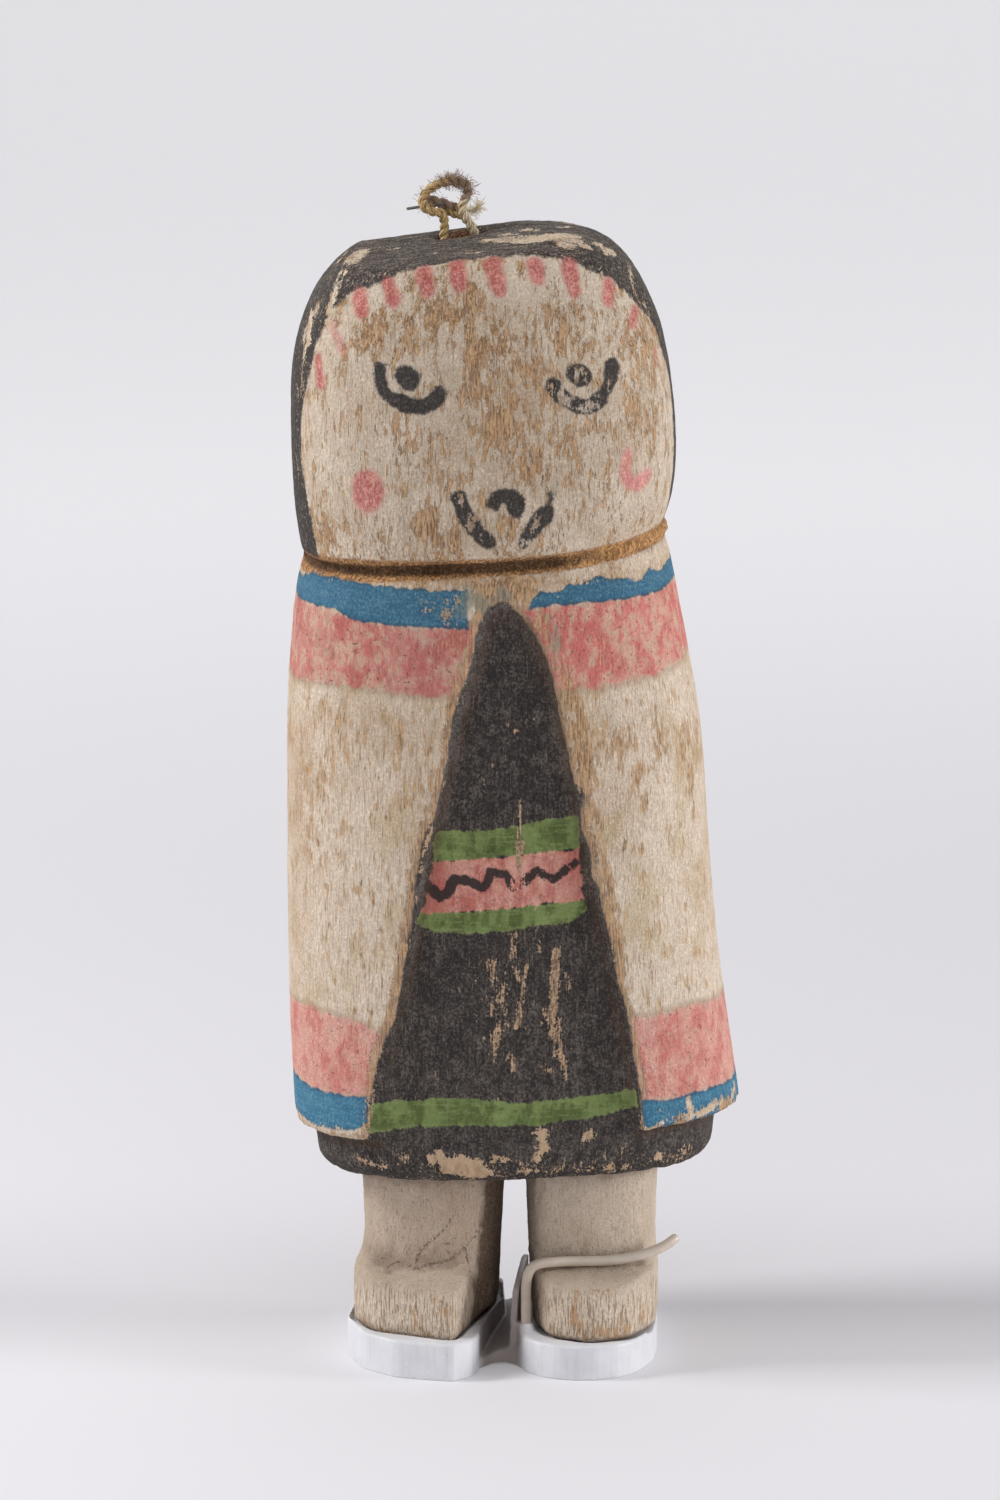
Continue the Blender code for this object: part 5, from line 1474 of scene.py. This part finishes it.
class DOLL_OT_string(bpy.types.Operator):
    """Wind the hanging string, its knot and its loose fibres"""
    bl_idname = "painted_doll.string"
    bl_label = "Hanging string"

    def execute(self, context):
        settings = context.scene.doll_string
        path = smooth_through(STRING_ROUTE, 0.0005)
        fibre, aged = string_finish(settings), dark_fibre_finish(settings)
        sizes = {"Ply Radius": settings.ply_radius, "Ply Offset": settings.ply_offset,
                 "Pitch": settings.pitch, "Step": 0.0003}
        clean_plies, aged_plies = ply_recipe(fibre), ply_recipe(aged)
        string = clean_plies.bake(poly_curve("string_path", path), "hanging_cord", sizes)
        strands = []
        for name, plies, route, radius, offset, pitch in (
                ("knot_strand", aged_plies, KNOT_ROUTE, 0.70, 0.52, 4.6),
                ("lower_strand", clean_plies, LOWER_ROUTE, 0.40, 0.36, 2.6)):
            made = plies.bake(poly_curve(name + "_path", smooth_through(route, 0.0005)), name,
                              {**sizes, "Ply Radius": radius * MM, "Ply Offset": offset * MM,
                               "Pitch": pitch * MM})
            strands.append(made)
        for piece in (string, *strands):
            piece.data.shade_smooth()
        clean_fray, aged_fray = fray_recipe(fibre), fray_recipe(aged)
        loose = []
        for name, fray, route, count, size, lean, spread in (
                ("fuzz", clean_fray, STRING_ROUTE[2:], 460, 1.1, 0.42, 0.72),
                ("fluffy_top", aged_fray, FLUFF_ROUTE, settings.fibres, 1.9, 0.85, 0.95),
                ("frayed_arch", aged_fray, STRING_ROUTE[4:10], 200, 1.7, 0.5, 0.8),
                ("frayed_knot", aged_fray, KNOT_ROUTE, 260, 1.5, 0.6, 0.85),
                ("frayed_hook", clean_fray, STRING_ROUTE[3:6], 110, 1.2, 0.9, 0.6),
                ("frayed_tail", clean_fray, TAIL_ROUTE, 210, 1.7, 0.28, 0.42)):
            curve = poly_curve(name + "_path", smooth_through(route, 0.0003))
            loose.append(fray.bake(curve, name, {
                "Count": count, "Fibre Length": size * MM, "Fibre Radius": settings.fibre_radius,
                "Lean": lean, "Spread": spread * MM}))
        for piece in (string, *strands, *loose):
            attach(piece, BODY)
        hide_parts("hanging_string")
        quill = sweep("quill", smooth_through(QUILL_ROUTE, 0.0006), 0.3 * MM, 10,
                      quill_finish(context.scene.doll_mount))
        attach(quill, BODY)
        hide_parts("quill_stub")
        return {"FINISHED"}


class DOLL_OT_mount(bpy.types.Operator):
    """Build the painted metal mount and its sleeved clip"""
    bl_idname = "painted_doll.mount"
    bl_label = "Mount and clip"

    def execute(self, context):
        settings = context.scene.doll_mount
        solid = add_piece("mount_solid", merged_solid("mount_base", "mount_solid"))
        mesh = even_cells(solid, settings.grid, "mount_plate")
        bpy.context.view_layer.update()
        points = read_points(mesh)
        edges = read_edges(mesh)
        x, y, reach_x, reach_y, height = HOLLOW
        away = ((points[:, 0] - x) / reach_x) ** 2 + ((points[:, 1] - y) / reach_y) ** 2
        hollow = ((1.3 - away) / 0.6).clip(0, 1) * ((height - points[:, 2]) / 1.5).clip(0, 1)
        hollow *= (points[:, 2] / 1.0).clip(0, 1)
        snapped = np.array([solid.closest_point_on_mesh(p * MM)[1] for p in points]) / MM
        points = snapped + (points - snapped) * hollow[:, None]
        points = smoothed(points, edges, 2)
        points = smoothed(points, edges, 16, hollow)
        write_points(mesh, points)
        marks = spread_noise(points, (7, 7, 5), 11) + 0.45 * spread_noise(points, (1.6, 1.6, 4), 12)
        standing = (points[:, 2] / 0.6).clip(0, 1)
        move = marks * settings.file_depth / MM * standing
        points = points + read_normals(mesh) * move[:, None]
        arch = (1 - ((points[:, 0] + 2.6) / 4.2) ** 2).clip(0, 1) * (points[:, 1] < -15)
        low = ((1.2 - points[:, 2]) / 1.2).clip(0, 1)
        points[:, 2] = np.where(points[:, 2] < 0.15, 0.0, points[:, 2]) + 0.5 * arch * low
        write_points(mesh, points)
        bpy.data.objects.remove(solid, do_unlink=True)
        mesh.shade_smooth()
        plate = add_piece("mount_plate", mesh, mount_finish(settings))
        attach(plate, BODY)
        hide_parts("mount_base")
        path = smooth_through(CLIP_ROUTE, 0.0006)
        clip = sweep("clip_sleeve", path, settings.sleeve_radius, 20, sleeve_finish(settings))
        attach(clip, BODY)
        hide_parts("mount_clip")
        return {"FINISHED"}


def area_light(name, place, size, power):
    """A rectangular light that shines at the doll."""
    light = bpy.data.lights.new(name, "AREA")
    light.shape = "RECTANGLE"
    light.size, light.size_y = size
    light.energy = power
    lamp = bpy.data.objects.new(name, light)
    bpy.context.scene.collection.objects.link(lamp)
    lamp.location = place
    lamp.rotation_euler = (DOLL_MIDDLE - Vector(place)).to_track_quat("-Z", "Y").to_euler()


class DOLL_OT_stage(bpy.types.Operator):
    """Set up the paper floor, the lights and the camera"""
    bl_idname = "painted_doll.stage"
    bl_label = "Stage"

    def execute(self, context):
        scene = context.scene
        stage = scene.doll_stage
        mesh = bpy.data.meshes.new("paper_floor")
        turn = [(PAPER_BACK + PAPER_TURN * math.sin(a), PAPER_TURN * (1 - math.cos(a)))
                for a in np.radians(np.arange(6, 91, 6))]
        profile = [(PAPER_FRONT, 0.0), (PAPER_BACK, 0.0), *turn,
                   (PAPER_BACK + PAPER_TURN, PAPER_TOP)]
        shape = bmesh.new()
        rows = [[shape.verts.new((x, y, z)) for x in (-PAPER_SIDE, PAPER_SIDE)]
                for y, z in profile]
        for lower, upper in zip(rows, rows[1:]):
            shape.faces.new((lower[0], lower[1], upper[1], upper[0]))
        shape.to_mesh(mesh)
        shape.free()
        mesh.shade_smooth()
        paper = add_piece("paper_floor", mesh, floor_finish(stage))
        for name, place, size in LIGHTS:
            area_light(name + "_light", place, size, getattr(stage, name))
        world = bpy.data.worlds.new("room")
        scene.world = world
        world.use_nodes = True
        background = world.node_tree.nodes["Background"]
        background.inputs["Color"].default_value = (0.97, 0.98, 1.0, 1.0)
        background.inputs["Strength"].default_value = stage.sky
        low, high = CAD_BOX
        aim = Vector((0.0, 0.0, (low.z + high.z) / 2)) + CAMERA_AIM
        camera = bpy.data.cameras.new("camera")
        camera.sensor_width = SENSOR
        camera.lens = SENSOR * stage.distance / (PHOTO_SCALE * PHOTO_HEIGHT)
        eye = bpy.data.objects.new("camera", camera)
        scene.collection.objects.link(eye)
        tilt = stage.elevation
        eye.location = aim + stage.distance * Vector((0, -math.cos(tilt), math.sin(tilt)))
        eye.rotation_euler = (math.pi / 2 - tilt, 0, 0)
        scene.camera = eye
        scene.view_settings.view_transform = "Standard"
        return {"FINISHED"}


class DOLL_PT_panel(bpy.types.Panel):
    """Lists the pieces of the doll and their settings"""
    bl_idname = "DOLL_PT_panel"
    bl_label = "Painted wooden doll"
    bl_space_type = "VIEW_3D"
    bl_region_type = "UI"
    bl_category = "Doll"

    def draw(self, context):
        for operator, groups in PIECES.items():
            box = self.layout.box()
            box.operator(operator.bl_idname)
            for name in groups:
                settings = getattr(context.scene, name)
                for key in settings.__annotations__:
                    box.prop(settings, key)


SETTINGS = {
    "doll_carving": CarvingSettings,
    "doll_paint": PaintSettings,
    "doll_string": StringSettings,
    "doll_mount": MountSettings,
    "doll_stage": StageSettings,
}
PIECES = {
    DOLL_OT_carving: ("doll_carving", "doll_paint"),
    DOLL_OT_string: ("doll_string",),
    DOLL_OT_mount: ("doll_mount",),
    DOLL_OT_stage: ("doll_stage",),
}


def register():
    for group in SETTINGS.values():
        bpy.utils.register_class(group)
    for name, group in SETTINGS.items():
        setattr(bpy.types.Scene, name, PointerProperty(type=group))
    for operator in PIECES:
        bpy.utils.register_class(operator)
    bpy.utils.register_class(DOLL_PT_panel)


def unregister():
    bpy.utils.unregister_class(DOLL_PT_panel)
    for operator in PIECES:
        bpy.utils.unregister_class(operator)
    for name, group in SETTINGS.items():
        delattr(bpy.types.Scene, name)
        bpy.utils.unregister_class(group)


def main():
    register()
    bpy.ops.painted_doll.carving()
    bpy.ops.painted_doll.string()
    bpy.ops.painted_doll.mount()
    bpy.ops.painted_doll.stage()


if __name__ == "__main__":
    main()
